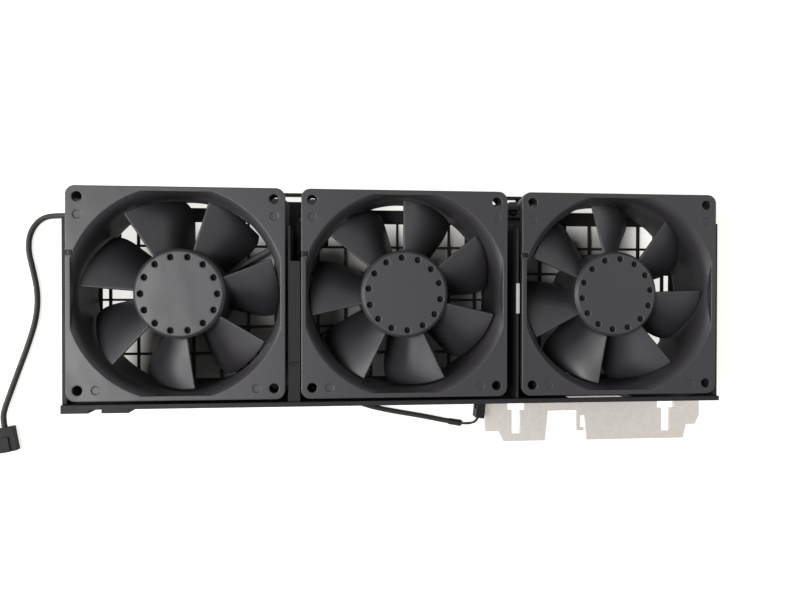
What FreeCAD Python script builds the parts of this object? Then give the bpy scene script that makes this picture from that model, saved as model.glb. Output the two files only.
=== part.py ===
import FreeCAD
import Part
import math
import os

# Server fan assembly: three axial fans in a moulded tray with a sheet-metal keyhole bracket.
# Frame: X along the row of fans, Y across it, Z along the air path towards the intake side.
# The origin is on the middle fan's axis, in the tray's rear face. All sizes are millimetres.

V = FreeCAD.Vector
Z_AXIS = V(0, 0, 1)

# Fan frames
FAN_SIZE = 92.0
FAN_DEPTH = 38.0
FAN_GAP = 7.0
HOLE_INSET = 4.75
HOLE_D = 4.3
HOLE_BOSS_D = 8.0
HOLE_BOSS_DEPTH = 12.0
FLANGE_T = 4.0
FLANGE_CORNER_R = 4.0
EJECTOR_D = 3.6
EJECTOR_DEPTH = 0.3
EJECTOR_OFFSET = 7.5
BARREL_MARGIN = 0.8
BARREL_WALL = 2.0
MOUTH_DEPTH = 8.0
MOUTH_GROWTH = 3.4
MOUTH_RIM = 2.0
OUTLET_DEPTH = 5.0
OUTLET_GROWTH = 1.6
OUTLET_RIM = 1.5
EDGE_NOTCH_Y = 17.5
EDGE_NOTCH_LENGTH = 3.0
EDGE_NOTCH_WIDTH = 2.0
EDGE_NOTCH_DEPTH = 2.0
STRUT_ANGLES = (30.0, -60.0, -150.0)
STRUT_HEIGHT = 6.0
STRUT_REAR_WIDTH = 3.6
STRUT_FRONT_WIDTH = 2.2
LEAD_STRUT_ANGLE = 120.0
LEAD_STRUT_LIP = 0.9
LEAD_FLOOR = 2.4
LEAD_EXIT_INSET = 9.7
LEAD_BEND_ROOM = 1.2

# Motor base and stator
BASE_MARGIN = 0.25
BASE_T = 2.2
BASE_RIM_T = 1.8
BASE_RIM_HEIGHT = 5.5
BOARD_SEAT_WIDTH = 1.4
BOARD_SEAT_HEIGHT = 1.8
BOARD_T = 1.2
BOARD_CLEARANCE = 0.3
CHIP_LENGTH = 5.0
CHIP_WIDTH = 4.0
CHIP_HEIGHT = 1.2
SENSOR_WIDTH = 2.6
SENSOR_DEPTH = 1.4
BOSS_WALL = 1.4
BOSS_HEIGHT = 11.0
CORE_HEIGHT = 10.0
CORE_RIM_T = 1.8
CORE_HUB_T = 2.4
POLE_COUNT = 4
POLE_NECK_WIDTH = 5.0
POLE_GAP = 2.4
COIL_BUILD = 1.9
COIL_END_BUILD = 2.4
COIL_CLEARANCE = 0.15

# Shaft and bearings
SHAFT_D = 3.0
BEARING_OD = 8.0
BEARING_WIDTH = 4.0
RING_T = 0.85
INNER_RING_T = 0.6
SHIELD_T = 0.25
SHIELD_RECESS = 0.3
SHIELD_CLEARANCE = 0.1
SLEEVE_WALL = 0.8
SLEEVE_SHOULDER = 0.6
SLEEVE_START = 0.8
REAR_BEARING_Z = 3.0
# The bearings stand closer together than the fan is deep, by this much.
BEARING_SETBACK = 21.0
BEARING_SPREAD = FAN_DEPTH - BEARING_SETBACK
SLEEVE_LIP = 0.5
CLIP_T = 0.5
CLIP_OUTER_D = 5.4
CLIP_GROOVE_DEPTH = 0.4
CLIP_OPENING = 2.0
SHAFT_REAR_END = 1.6
SPRING_HEIGHT = 1.6
SPRING_T = 0.3
SPRING_FLARE = 1.2

# Rotor
HUB_D = 39.5
HUB_RECESS = 4.5
HUB_FACE_T = 3.0
HUB_WALL = 2.15
HUB_CHAMFER = 1.3
HUB_PIT_COUNT = 14
HUB_PIT_INSET = 3.35
HUB_PIT_D = 2.8
HUB_PIT_DEPTH = 2.2
HUB_PIT_PHASE = 4.2
SKIRT_CLEARANCE = 1.0
YOKE_WALL = 1.1
YOKE_FACE_T = 1.2
YOKE_LIFT = 1.0
YOKE_BOSS_T = 1.8
MAGNET_T = 2.0
MAGNET_HEIGHT = 14.0
MAGNET_LIFT = 1.5
AIR_GAP = 0.5
BLADE_COUNT = 7
TIP_CLEARANCE = 0.9
LEADING_EDGE_ANGLE = 19.0
LEADING_EDGE_DROP = 2.2
TRAILING_LIFT_ROOT = 3.0
TRAILING_LIFT_TIP = 6.5
PLAN_SPAN_ROOT = 41.0
PLAN_SPAN_TIP = 37.0
TIP_ROUNDING = 6.5
TIP_ROUNDING_POWER = 6
BLADE_CAMBER = 0.09
BLADE_T_ROOT = 1.9
BLADE_T_TIP = 1.2
BLADE_EDGE_T = 0.8
BLADE_STATIONS = (-0.25, 0.1, 0.45, 0.7, 0.88, 1.04)
REST_PHASES = {"left": 21.5, "middle": -12.5, "right": 2.5}

# Tray
FLOOR_T = 2.0
WALL_T = 2.0
SIDE_CLEARANCE = 0.5
SIDE_WALL_DROP = 3.0
SIDE_WALL_END = 13.0
BOTTOM_CLEARANCE = 1.6
BOTTOM_WALL_DROP = 1.0
TOP_CLEARANCE = 1.6
TOP_RIM_T = 1.4
TOP_RIM_HEIGHT = 4.0
SIDE_WINDOW_BOTTOM = 5.6
SIDE_WINDOW_TOP = 7.0
SIDE_WINDOW_LOW = 8.0
SIDE_WINDOW_DROP = 9.0
SIDE_WEB_Y = -7.0
SIDE_WEB = 6.0
FRONT_WINDOW_OFFSET = -23.2
FRONT_WINDOW_LENGTH = 31.2
FRONT_WINDOW_DROP = 2.0
FRONT_WINDOW_HEIGHT = 17.0
LEAD_OUTLET_START = 4.0
LEAD_OUTLET_LENGTH = 19.0
LEAD_OUTLET_LOW = 6.8
LEAD_OUTLET_HEIGHT = 5.6
TOP_SLOT_INSET = 1.2
TOP_SLOT_WIDTH = 5.0
FAN_SLOT_LENGTH = 36.0
GAP_SLOT_LENGTH = 22.0
GAP_SLOT_WIDTH = 2.6
PARTITION_SHIFT = 1.9
PARTITION_T = 1.0
PARTITION_TOP_DROP = 2.0
PARTITION_END = 16.0
COVER_T = 1.2
COVER_END_Y = 14.5
COVER_RIB_Y = -30.7
COVER_RIB_WIDTH = 0.9
COVER_RIB_HEIGHT = 0.6
POST_CLEARANCE = 0.15
POST_BARB = 0.25
POST_BARB_HEIGHT = 1.9
POST_TIP_D = 3.0
POST_SLOT = 0.8
POST_HEADROOM = 0.2
LUG_STARTS = (0.0, 16.8)
LUG_LENGTH = 11.4
LUG_T = 1.6
LUG_HEIGHT = 15.0

# Rear guards
WINDOW_SIDE_MARGIN = 2.2
WINDOW_BOTTOM_MARGIN = 4.0
WINDOW_TOP_MARGIN = 10.4
WINDOW_STEP_LENGTH = 8.7
WINDOW_BOTTOM_STEP = 12.4
WINDOW_TOP_STEP = 12.0
GUARD_RIM = 2.4
GUARD_RIM_T = 1.0
GUARD_SEAT = 1.6
GUARD_CLEARANCE = 0.1
RIB_T = 1.1
RIB_PITCH = 13.0
RIB_ROW_Y = -3.0

# Keyhole bracket: offsets along X are from the right fan's axis, distances along Y from its flange
SHEET_T = 1.2
BEND_R = 1.0
LEG_HEIGHT = 14.5
LEG_END = 11.0
BRACKET_START = -54.4
BRACKET_LENGTH = 113.9
BRACKET_REACH = 24.1
HEEL_OVERLAP = 2.0
SHOULDER_LENGTH = 7.2
SHOULDER_HEIGHT = 5.2
SHOULDER_SLOPE = 2.6
NOTCH_START = -23.2
NOTCH_WIDTH = 16.8
NOTCH_DEPTH = 15.2
NOTCH_TAPER = 1.5
HOOK_WIDTH = 1.7
HOOK_LENGTH = 10.3
HOOK_FOOT_LENGTH = 3.7
HOOK_FOOT_HEIGHT = 1.3
HOOK_SLIT_WIDTH = 2.7
HOOK_SLIT_TOP = 2.7
TONGUE_TAPER = 1.0
END_STEP_LENGTH = 7.1
END_STEP_HEIGHT = 7.1
END_STEP_TAPER = 1.6
END_CHAMFER = 4.5
SLOT_OFFSETS = (-38.4, 41.1)
SLOT_STEM_WIDTH = 4.4
SLOT_STEM_LENGTH = 12.1
SLOT_HEAD_WIDTH = 9.0
SLOT_HEAD_LENGTH = 4.8
SLOT_HEAD_START = 3.6
SCREW_SPACING = 69.0
SCREW_Z = 9.6
SCREW_D = 2.9
SCREW_HEAD_D = 5.6
SCREW_HEAD_T = 2.0
SCREW_LENGTH = 6.5
SCREW_HOLE_CLEARANCE = 0.25
THREAD_CLEARANCE = 0.05
BOSS_D = 6.2
BOSS_LENGTH = 5.6

# Clip on the partition's front edge
EDGE_CLIP_START_Y = -8.8
EDGE_CLIP_LENGTH = 13.6
EDGE_CLIP_T = 0.3
EDGE_CLIP_DEPTH = 9.0

# Leads and plugs
LEAD_D = 2.6
LEAD_CLEARANCE = 0.3
WIRE_BUNDLE_D = 1.3
PLUG_WAYS = 4
PLUG_PITCH = 2.0
PLUG_END_MARGIN = 1.1
PLUG_LENGTH = 11.5
PLUG_HEIGHT = 4.2
PLUG_CAVITY = 1.5
PLUG_CAVITY_DEPTH = 9.0
PLUG_RIB_HEIGHT = 0.6
PLUG_RIB_WIDTH = 3.0
PLUG_RIB_LENGTH = 7.0
TERMINAL_WIDTH = 1.1
TERMINAL_LENGTH = 7.5
WIRE_ENTRY = 1.5

# Routes of the leads, chosen by hand along the way they lie
ARC_SHARE = 0.45
LEFT_HELD_ROUTE = [
    V(-108.2, 15.9, 5.7),
    V(-120.0, 36.2, 5.7),
    V(-128.0, 36.3, 5.7),
    V(-145.0, 36.3, 5.7),
]
LEFT_FREE_ROUTE = [
    V(-145.0, 36.3, 5.7),
    V(-152.0, 36.3, 5.7),
    V(-160.4, 37.0, 2.3),
    V(-169.0, 36.3, 1.3),
    V(-174.4, 29.9, 1.3),
    V(-175.7, 21.2, 1.3),
    V(-173.4, 11.4, 1.3),
    V(-171.2, 0.4, 1.3),
    V(-171.8, -11.2, 1.3),
    V(-175.4, -23.6, 1.3),
    V(-180.3, -37.0, 1.3),
    V(-184.3, -48.4, 1.4),
    V(-186.3, -54.6, 1.8),
    V(-186.9, -58.9, 2.1),
    V(-186.1, -63.2, 2.1),
]
MIDDLE_HELD_ROUTE = [
    V(-9.2, 15.9, 5.7),
    V(-21.0, 36.3, 5.7),
    V(-29.0, 36.2, 5.7),
    V(-47.2, 36.3, 5.7),
    V(-48.7, 32.6, 5.8),
    V(-48.6, 26.5, 6.2),
    V(-48.2, 2.0, 7.8),
    V(-48.5, -22.0, 9.6),
    V(-48.3, -34.6, 10.1),
    V(-44.0, -42.9, 10.1),
    V(-35.0, -47.3, 9.6),
    V(-27.9, -49.9, 8.7),
]
MIDDLE_FREE_ROUTE = [
    V(-27.9, -49.9, 8.7),
    V(-20.8, -52.5, 7.8),
    V(-11.6, -56.2, 3.0),
    V(-0.6, -58.8, 1.3),
    V(13.6, -61.3, 1.3),
    V(25.2, -63.9, 1.3),
    V(32.2, -65.1, 1.3),
]
WIRE_ROUTE = [
    V(32.2, -65.1, 1.3),
    V(35.2, -65.61, 1.3),
    V(40.4, -64.2, 2.9),
    V(40.8, -60.2, 4.1),
]

# Sizes that follow from the driving dimensions
FAN_HALF = FAN_SIZE / 2
FAN_PITCH = FAN_SIZE + FAN_GAP
HOLE_PITCH = FAN_SIZE - 2 * HOLE_INSET
LEAD_EXIT_Y = FAN_HALF - LEAD_EXIT_INSET
FAN_PLACES = {"left": -FAN_PITCH, "middle": 0.0, "right": FAN_PITCH}
BARREL_R = FAN_HALF - BARREL_MARGIN
BORE_R = BARREL_R - BARREL_WALL
LEAD_GROOVE = LEAD_D + 2 * LEAD_CLEARANCE
HUB_R = HUB_D / 2
HUB_FACE_Z = FAN_DEPTH - HUB_RECESS
HUB_CEILING_Z = HUB_FACE_Z - HUB_FACE_T
SKIRT_Z = BASE_RIM_HEIGHT + SKIRT_CLEARANCE
YOKE_R = HUB_R - HUB_WALL
MAGNET_R = YOKE_R - YOKE_WALL
CORE_R = MAGNET_R - MAGNET_T - AIR_GAP
TIP_R = BORE_R - TIP_CLEARANCE
BASE_R = HUB_R + BASE_MARGIN
BASE_INNER_R = BASE_R - BASE_RIM_T
BOARD_Z = BASE_T + BOARD_SEAT_HEIGHT
SHAFT_R = SHAFT_D / 2
BEARING_R = BEARING_OD / 2
SLEEVE_R = BEARING_R + SLEEVE_WALL
BOSS_R = SLEEVE_R + BOSS_WALL
FRONT_BEARING_Z = REAR_BEARING_Z + BEARING_SPREAD
FRONT_BEARING_TOP = FRONT_BEARING_Z + BEARING_WIDTH
YOKE_BOSS_Z = FRONT_BEARING_TOP + SPRING_HEIGHT
FAN_FRONT_Z = FLOOR_T + FAN_DEPTH
TRAY_HALF = FAN_PITCH + FAN_HALF + SIDE_CLEARANCE + WALL_T
BOTTOM_INNER_Y = -(FAN_HALF + BOTTOM_CLEARANCE)
BOTTOM_OUTER_Y = BOTTOM_INNER_Y - WALL_T
TOP_INNER_Y = FAN_HALF + TOP_CLEARANCE
TOP_OUTER_Y = TOP_INNER_Y + TOP_RIM_T
SIDE_WALL_END_Y = FAN_HALF - SIDE_WALL_END
PARTITION_X = FAN_PITCH / 2 + PARTITION_SHIFT
PARTITION_END_Y = FAN_HALF - PARTITION_END
PARTITION_TOP = FAN_FRONT_Z - PARTITION_TOP_DROP
SIDE_WALL_HEIGHT = FAN_FRONT_Z - SIDE_WALL_DROP
BOTTOM_WALL_HEIGHT = FAN_FRONT_Z - BOTTOM_WALL_DROP
WINDOW_WIDE_HALF = FAN_HALF - WINDOW_SIDE_MARGIN
WINDOW_TALL_HALF = WINDOW_WIDE_HALF - WINDOW_STEP_LENGTH
WINDOW_BOTTOM_Y = WINDOW_BOTTOM_MARGIN - FAN_HALF
WINDOW_TOP_Y = FAN_HALF - WINDOW_TOP_MARGIN
PLUG_WIDTH = (PLUG_WAYS - 1) * PLUG_PITCH + 2 * PLUG_END_MARGIN
LEG_OUTER_Y = BOTTOM_OUTER_Y - SHEET_T
SCREW_PLACES = (FAN_PITCH - SCREW_SPACING / 2, FAN_PITCH + SCREW_SPACING / 2)
LEG_START_X = SCREW_PLACES[0] - LEG_END
LEG_LENGTH = SCREW_SPACING + 2 * LEG_END


def block(x0, x1, y0, y1, z0, z1):
    """Box between two corners."""
    return Part.makeBox(x1 - x0, y1 - y0, z1 - z0, V(x0, y0, z0))


def disc(radius, z0, z1, x=0.0, y=0.0):
    """Upright cylinder between two heights."""
    return Part.makeCylinder(radius, z1 - z0, V(x, y, z0))


def ring(inner, outer, z0, z1):
    """Upright ring between two heights."""
    return disc(outer, z0, z1).cut(disc(inner, z0, z1))


def turned(edges):
    """Solid of revolution about Z from a closed list of edges in the XZ plane."""
    face = Part.Face(Part.Wire(edges))
    return face.revolve(V(0, 0, 0), Z_AXIS, 360)


def closed_polygon(points):
    """Straight edges that join the points and return to the first."""
    return [Part.makeLine(a, b) for a, b in zip(points, points[1:] + points[:1])]


def prism(points, vector):
    """Closed outline of straight edges, pushed along a vector."""
    return Part.Face(Part.Wire(closed_polygon(points))).extrude(vector)


def spun(shape, angle):
    """Copy turned about the Z axis."""
    return shape.rotated(V(0, 0, 0), Z_AXIS, angle)


def moved(shape, x, y=0.0, z=0.0):
    """Copy shifted along the axes."""
    return shape.translated(V(x, y, z))


def flange_plate(z0):
    """Square flange with rounded corners."""
    plate = block(-FAN_HALF, FAN_HALF, -FAN_HALF, FAN_HALF, z0, z0 + FLANGE_T)
    upright = [e for e in plate.Edges if e.BoundBox.ZLength > FLANGE_T / 2]
    return plate.makeFillet(FLANGE_CORNER_R, upright)


def hole_places():
    """Centres of a fan's four corner holes."""
    half = HOLE_PITCH / 2
    return [(sx * half, sy * half) for sx in (-1, 1) for sy in (-1, 1)]


def flare(depth, growth, rim, z_edge, side):
    """Rounded mouth that opens from the bore to a face and stays inside the frame's rim."""
    sweep_r = (growth ** 2 + depth ** 2) / (2 * growth)
    z_start = z_edge - side * depth
    half_turn = math.asin(depth / sweep_r) / 2
    mid = V(BORE_R + sweep_r * (1 - math.cos(half_turn)), 0, z_start + side * sweep_r * math.sin(half_turn))
    start = V(BORE_R, 0, z_start)
    end = V(BORE_R + growth, 0, z_edge)
    axis_start = V(0, 0, z_start)
    axis_end = V(0, 0, z_edge)
    edges = [
        Part.makeLine(axis_start, start),
        Part.Arc(start, mid, end).toShape(),
        Part.makeLine(end, axis_end),
        Part.makeLine(axis_end, axis_start),
    ]
    half = FAN_HALF - rim
    low, high = sorted((z_start, z_edge))
    return turned(edges).common(block(-half, half, -half, half, low, high))


def plain_strut():
    """Tapered spoke along +X between the motor base and the barrel."""
    rear = STRUT_REAR_WIDTH / 2
    front = STRUT_FRONT_WIDTH / 2
    start = BASE_R - BASE_RIM_T / 2
    end = BORE_R + BARREL_WALL / 2
    outline = [
        V(start, -rear, 0),
        V(start, rear, 0),
        V(start, front, STRUT_HEIGHT),
        V(start, -front, STRUT_HEIGHT),
    ]
    return prism(outline, V(end - start, 0, 0))


def lead_strut():
    """Wider spoke along +X with an open channel for the motor's lead."""
    half = LEAD_GROOVE / 2 + LEAD_STRUT_LIP
    start = BASE_R - BASE_RIM_T / 2
    return block(start, BORE_R + BARREL_WALL / 2, -half, half, 0, STRUT_HEIGHT)


def lead_channel():
    """Cut that leads from the motor base along the spoke, through the barrel and out of the side."""
    half = LEAD_GROOVE / 2
    top = STRUT_HEIGHT
    reach = LEAD_EXIT_Y / math.sin(math.radians(LEAD_STRUT_ANGLE))
    corner_x = LEAD_EXIT_Y / math.tan(math.radians(LEAD_STRUT_ANGLE))
    spoke = spun(block(BASE_INNER_R, reach, -half, half, LEAD_FLOOR, top), LEAD_STRUT_ANGLE)
    way_out = block(-FAN_SIZE, corner_x, LEAD_EXIT_Y - half, LEAD_EXIT_Y + half, LEAD_FLOOR, top)
    bend = disc(half + LEAD_BEND_ROOM, LEAD_FLOOR, top, corner_x, LEAD_EXIT_Y)
    return spoke.fuse([way_out, bend])


def ejector_marks():
    """Shallow round marks that the mould's ejector pins leave beside the front holes."""
    half = HOLE_PITCH / 2
    near = half - EJECTOR_OFFSET
    places = [(-near, -half), (near, -half), (-half, near), (half, near)]
    low = FAN_DEPTH - EJECTOR_DEPTH
    return [disc(EJECTOR_D / 2, low, FAN_DEPTH, x, y) for x, y in places]


def edge_notch():
    """Groove across the front flange's thin left rim."""
    y0 = EDGE_NOTCH_Y - EDGE_NOTCH_WIDTH / 2
    x1 = EDGE_NOTCH_LENGTH - FAN_HALF
    low = FAN_DEPTH - EDGE_NOTCH_DEPTH
    return block(-FAN_HALF, x1, y0, y0 + EDGE_NOTCH_WIDTH, low, FAN_DEPTH)


def fan_frame():
    """Square housing with open corners, flared bore, spokes and motor base."""
    boss_low = FAN_DEPTH - HOLE_BOSS_DEPTH
    bosses = [disc(HOLE_BOSS_D / 2, boss_low, FAN_DEPTH, x, y) for x, y in hole_places()]
    flanges = [flange_plate(0), flange_plate(FAN_DEPTH - FLANGE_T)]
    body = disc(BARREL_R, 0, FAN_DEPTH).fuse(flanges + bosses)
    body = body.cut(disc(BORE_R, 0, FAN_DEPTH))
    body = body.cut(flare(MOUTH_DEPTH, MOUTH_GROWTH, MOUTH_RIM, FAN_DEPTH, 1))
    body = body.cut(flare(OUTLET_DEPTH, OUTLET_GROWTH, OUTLET_RIM, 0, -1))
    body = body.cut([disc(HOLE_D / 2, 0, FAN_DEPTH, x, y) for x, y in hole_places()])
    body = body.cut(ejector_marks() + [edge_notch()])
    base = disc(BASE_R, 0, BASE_T)
    rim = ring(BASE_INNER_R, BASE_R, 0, BASE_RIM_HEIGHT)
    seat = ring(BASE_INNER_R - BOARD_SEAT_WIDTH, BASE_INNER_R, 0, BOARD_Z)
    boss = disc(BOSS_R, 0, BOSS_HEIGHT)
    struts = [spun(plain_strut(), angle) for angle in STRUT_ANGLES]
    struts.append(spun(lead_strut(), LEAD_STRUT_ANGLE))
    body = body.fuse([base, rim, seat, boss] + struts)
    body = body.cut(disc(SLEEVE_R, 0, BOSS_HEIGHT))
    return body.cut(lead_channel()).removeSplitter()


def bearing_sleeve():
    """Brass tube with a shoulder between its two bearing seats."""
    outer = disc(SLEEVE_R, SLEEVE_START, FRONT_BEARING_TOP + SLEEVE_LIP)
    rear_seat = disc(BEARING_R, SLEEVE_START, REAR_BEARING_Z + BEARING_WIDTH)
    front_seat = disc(BEARING_R, FRONT_BEARING_Z, FRONT_BEARING_TOP + SLEEVE_LIP)
    through = disc(BEARING_R - SLEEVE_SHOULDER, SLEEVE_START, FRONT_BEARING_TOP)
    return outer.cut([rear_seat, front_seat, through])


def bearing_outer_ring(z):
    """Outer ring with its two shields, which stop just short of the inner ring."""
    shield_r = SHAFT_R + INNER_RING_T + SHIELD_CLEARANCE
    race_r = BEARING_R - RING_T
    top = z + BEARING_WIDTH
    race = ring(race_r, BEARING_R, z, top)
    rear = ring(shield_r, race_r, z + SHIELD_RECESS, z + SHIELD_RECESS + SHIELD_T)
    front = ring(shield_r, race_r, top - SHIELD_RECESS - SHIELD_T, top - SHIELD_RECESS)
    return race.fuse([rear, front])


def bearing_outer_rings():
    """Fixed rings of both ball bearings."""
    return Part.makeCompound([bearing_outer_ring(z) for z in (REAR_BEARING_Z, FRONT_BEARING_Z)])


def bearing_inner_rings():
    """Turning rings of both ball bearings, tight on the shaft."""
    outer = SHAFT_R + INNER_RING_T
    spans = (REAR_BEARING_Z, FRONT_BEARING_Z)
    return Part.makeCompound([ring(SHAFT_R, outer, z, z + BEARING_WIDTH) for z in spans])


def stator_core():
    """Laminated core with T-shaped poles on the bearing sleeve."""
    top = BOSS_HEIGHT + CORE_HEIGHT
    core = ring(SLEEVE_R, CORE_R, BOSS_HEIGHT, top)
    hub_r = SLEEVE_R + CORE_HUB_T
    pocket = ring(hub_r, CORE_R - CORE_RIM_T, BOSS_HEIGHT, top)
    half = POLE_NECK_WIDTH / 2
    necks = [spun(block(SLEEVE_R, CORE_R, -half, half, BOSS_HEIGHT, top), a) for a in pole_angles()]
    core = core.cut(pocket.cut(necks))
    gap = block(hub_r, CORE_R + AIR_GAP, -POLE_GAP / 2, POLE_GAP / 2, BOSS_HEIGHT, top)
    return core.cut([spun(gap, angle + 180 / POLE_COUNT) for angle in pole_angles()])


def pole_angles():
    """Directions of the stator's poles."""
    return [360 / POLE_COUNT * k for k in range(POLE_COUNT)]


def stator_coils():
    """One winding round each pole's neck."""
    half = POLE_NECK_WIDTH / 2
    side = half + COIL_BUILD
    start = SLEEVE_R + CORE_HUB_T + COIL_CLEARANCE
    end = math.sqrt((CORE_R - CORE_RIM_T) ** 2 - side ** 2) - COIL_CLEARANCE
    top = BOSS_HEIGHT + CORE_HEIGHT
    coil = block(start, end, -side, side, BOSS_HEIGHT - COIL_END_BUILD, top + COIL_END_BUILD)
    coil = coil.cut(block(start, end, -half, half, BOSS_HEIGHT, top))
    return Part.makeCompound([spun(coil, angle) for angle in pole_angles()])


def circuit_board():
    """Ring-shaped board with its driver chip and the sensor that reads the magnet."""
    outer = BASE_INNER_R - BOARD_CLEARANCE
    top = BOARD_Z + BOARD_T
    board = ring(BOSS_R + BOARD_CLEARANCE, outer, BOARD_Z, top)
    middle = (BOSS_R + outer) / 2
    chip_top = top + CHIP_HEIGHT
    chip = block(-CHIP_LENGTH / 2, CHIP_LENGTH / 2, -CHIP_WIDTH / 2, CHIP_WIDTH / 2, top, chip_top)
    sensor_x = MAGNET_R - MAGNET_T
    half = SENSOR_WIDTH / 2
    sensor = block(sensor_x - SENSOR_DEPTH, sensor_x, -half, half, top, chip_top)
    return board.fuse([moved(chip, 0, -middle), sensor])


def rotor_shaft():
    """Ground shaft with a groove for its clip."""
    shaft = disc(SHAFT_R, SHAFT_REAR_END, HUB_CEILING_Z)
    groove = ring(SHAFT_R - CLIP_GROOVE_DEPTH, SHAFT_D, REAR_BEARING_Z - CLIP_T, REAR_BEARING_Z)
    return shaft.cut(groove)


def shaft_clip():
    """Open ring that snaps into the shaft's groove and bears on the rear bearing."""
    body = ring(SHAFT_R - CLIP_GROOVE_DEPTH, CLIP_OUTER_D / 2, REAR_BEARING_Z - CLIP_T, REAR_BEARING_Z)
    half = CLIP_OPENING / 2
    return body.cut(block(0, CLIP_OUTER_D, -half, half, REAR_BEARING_Z - CLIP_T, REAR_BEARING_Z))


def preload_spring():
    """Cone-shaped spring washer between the front bearing's inner ring and the yoke."""
    z0 = FRONT_BEARING_TOP
    z1 = YOKE_BOSS_Z
    inner = SHAFT_R + SHIELD_CLEARANCE
    outline = [
        V(inner, 0, z0),
        V(inner + SPRING_T, 0, z0),
        V(inner + SPRING_T + SPRING_FLARE, 0, z1),
        V(inner + SPRING_FLARE, 0, z1),
    ]
    return turned(closed_polygon(outline))


def rotor_yoke():
    """Steel cup that carries the magnet, with a boss for the shaft."""
    bottom = SKIRT_Z + YOKE_LIFT
    cup = disc(YOKE_R, bottom, HUB_CEILING_Z)
    cup = cup.cut(disc(MAGNET_R, bottom, HUB_CEILING_Z - YOKE_FACE_T))
    cup = cup.fuse(disc(SHAFT_R + YOKE_BOSS_T, YOKE_BOSS_Z, HUB_CEILING_Z))
    return cup.cut(disc(SHAFT_R, bottom, HUB_CEILING_Z)).removeSplitter()


def rotor_magnet():
    """Magnet ring on the inside of the yoke."""
    bottom = SKIRT_Z + YOKE_LIFT + MAGNET_LIFT
    return ring(MAGNET_R - MAGNET_T, MAGNET_R, bottom, bottom + MAGNET_HEIGHT)


def blade_section(station):
    """Cambered section of one blade, in a plane across its span."""
    reach = HUB_R + station * (TIP_R - HUB_R)
    outward = max(station, 0.0)
    span = PLAN_SPAN_ROOT + (PLAN_SPAN_TIP - PLAN_SPAN_ROOT) * outward
    span = span - TIP_ROUNDING * outward ** TIP_ROUNDING_POWER
    lead_y = reach * math.tan(math.radians(LEADING_EDGE_ANGLE))
    trail_y = reach * math.tan(math.radians(LEADING_EDGE_ANGLE - span))
    trail_lift = TRAILING_LIFT_ROOT + (TRAILING_LIFT_TIP - TRAILING_LIFT_ROOT) * station
    lead = V(reach, lead_y, HUB_FACE_Z - LEADING_EDGE_DROP)
    trail = V(reach, trail_y, SKIRT_Z + trail_lift)
    along = trail - lead
    length = along.Length
    normal = V(0, along.z / length, -along.y / length)
    thickness = BLADE_T_ROOT + (BLADE_T_TIP - BLADE_T_ROOT) * outward
    middle = (lead + trail) * 0.5 + normal * (BLADE_CAMBER * length)
    edge = normal * (BLADE_EDGE_T / 2)
    body = normal * (thickness / 2)
    return Part.Wire([
        Part.Arc(lead + edge, middle + body, trail + edge).toShape(),
        Part.makeLine(trail + edge, trail - edge),
        Part.Arc(trail - edge, middle - body, lead - edge).toShape(),
        Part.makeLine(lead - edge, lead + edge),
    ])


def fan_blade():
    """Twisted blade, lofted through its sections and trimmed to the tip circle."""
    blade = Part.makeLoft([blade_section(s) for s in BLADE_STATIONS], True, False)
    blade = blade.common(disc(TIP_R, 0, FAN_DEPTH))
    return spun(blade, -LEADING_EDGE_ANGLE)


def fan_impeller():
    """Hub cup with its ring of shallow pits and its blades."""
    profile = [
        V(0, 0, SKIRT_Z),
        V(HUB_R, 0, SKIRT_Z),
        V(HUB_R, 0, HUB_FACE_Z - HUB_CHAMFER),
        V(HUB_R - HUB_CHAMFER, 0, HUB_FACE_Z),
        V(0, 0, HUB_FACE_Z),
    ]
    hub = turned(closed_polygon(profile))
    blade = fan_blade()
    hub = hub.fuse([spun(blade, 360 / BLADE_COUNT * k) for k in range(BLADE_COUNT)])
    hub = hub.cut(disc(YOKE_R, SKIRT_Z, HUB_CEILING_Z))
    pit = disc(HUB_PIT_D / 2, HUB_FACE_Z - HUB_PIT_DEPTH, HUB_FACE_Z, HUB_R - HUB_PIT_INSET)
    return hub.cut([spun(pit, HUB_PIT_PHASE + 360 / HUB_PIT_COUNT * k) for k in range(HUB_PIT_COUNT)])


def stepped_window(grow, z0, z1):
    """Cross-shaped window behind one fan, made larger or smaller all round."""
    wide = WINDOW_WIDE_HALF + grow
    tall = WINDOW_TALL_HALF + grow
    low = WINDOW_BOTTOM_Y - grow
    high = WINDOW_TOP_Y + grow
    across = block(-wide, wide, low + WINDOW_BOTTOM_STEP, high - WINDOW_TOP_STEP, z0, z1)
    return across.fuse(block(-tall, tall, low, high, z0, z1)).removeSplitter()


def rear_guard():
    """Grid of thin ribs in a flat rim that sits in the tray's rebate."""
    grow = GUARD_SEAT - GUARD_CLEARANCE
    rim = stepped_window(grow, 0, GUARD_RIM_T).cut(stepped_window(grow - GUARD_RIM, 0, GUARD_RIM_T))
    half = RIB_T / 2
    reach = WINDOW_WIDE_HALF + GUARD_SEAT
    count = int(WINDOW_WIDE_HALF // RIB_PITCH)
    ribs = []
    for k in range(-count, count + 1):
        x = k * RIB_PITCH
        ribs.append(block(x - half, x + half, -reach, reach, 0, FLOOR_T))
    low = math.ceil((WINDOW_BOTTOM_Y + RIB_T - RIB_ROW_Y) / RIB_PITCH)
    high = math.floor((WINDOW_TOP_Y - RIB_T - RIB_ROW_Y) / RIB_PITCH)
    for k in range(low, high + 1):
        y = RIB_ROW_Y + k * RIB_PITCH
        ribs.append(block(-reach, reach, y - half, y + half, 0, FLOOR_T))
    grid = ribs[0].fuse(ribs[1:]).common(stepped_window(-GUARD_CLEARANCE, 0, FLOOR_T))
    return rim.fuse(grid).removeSplitter()


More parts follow.
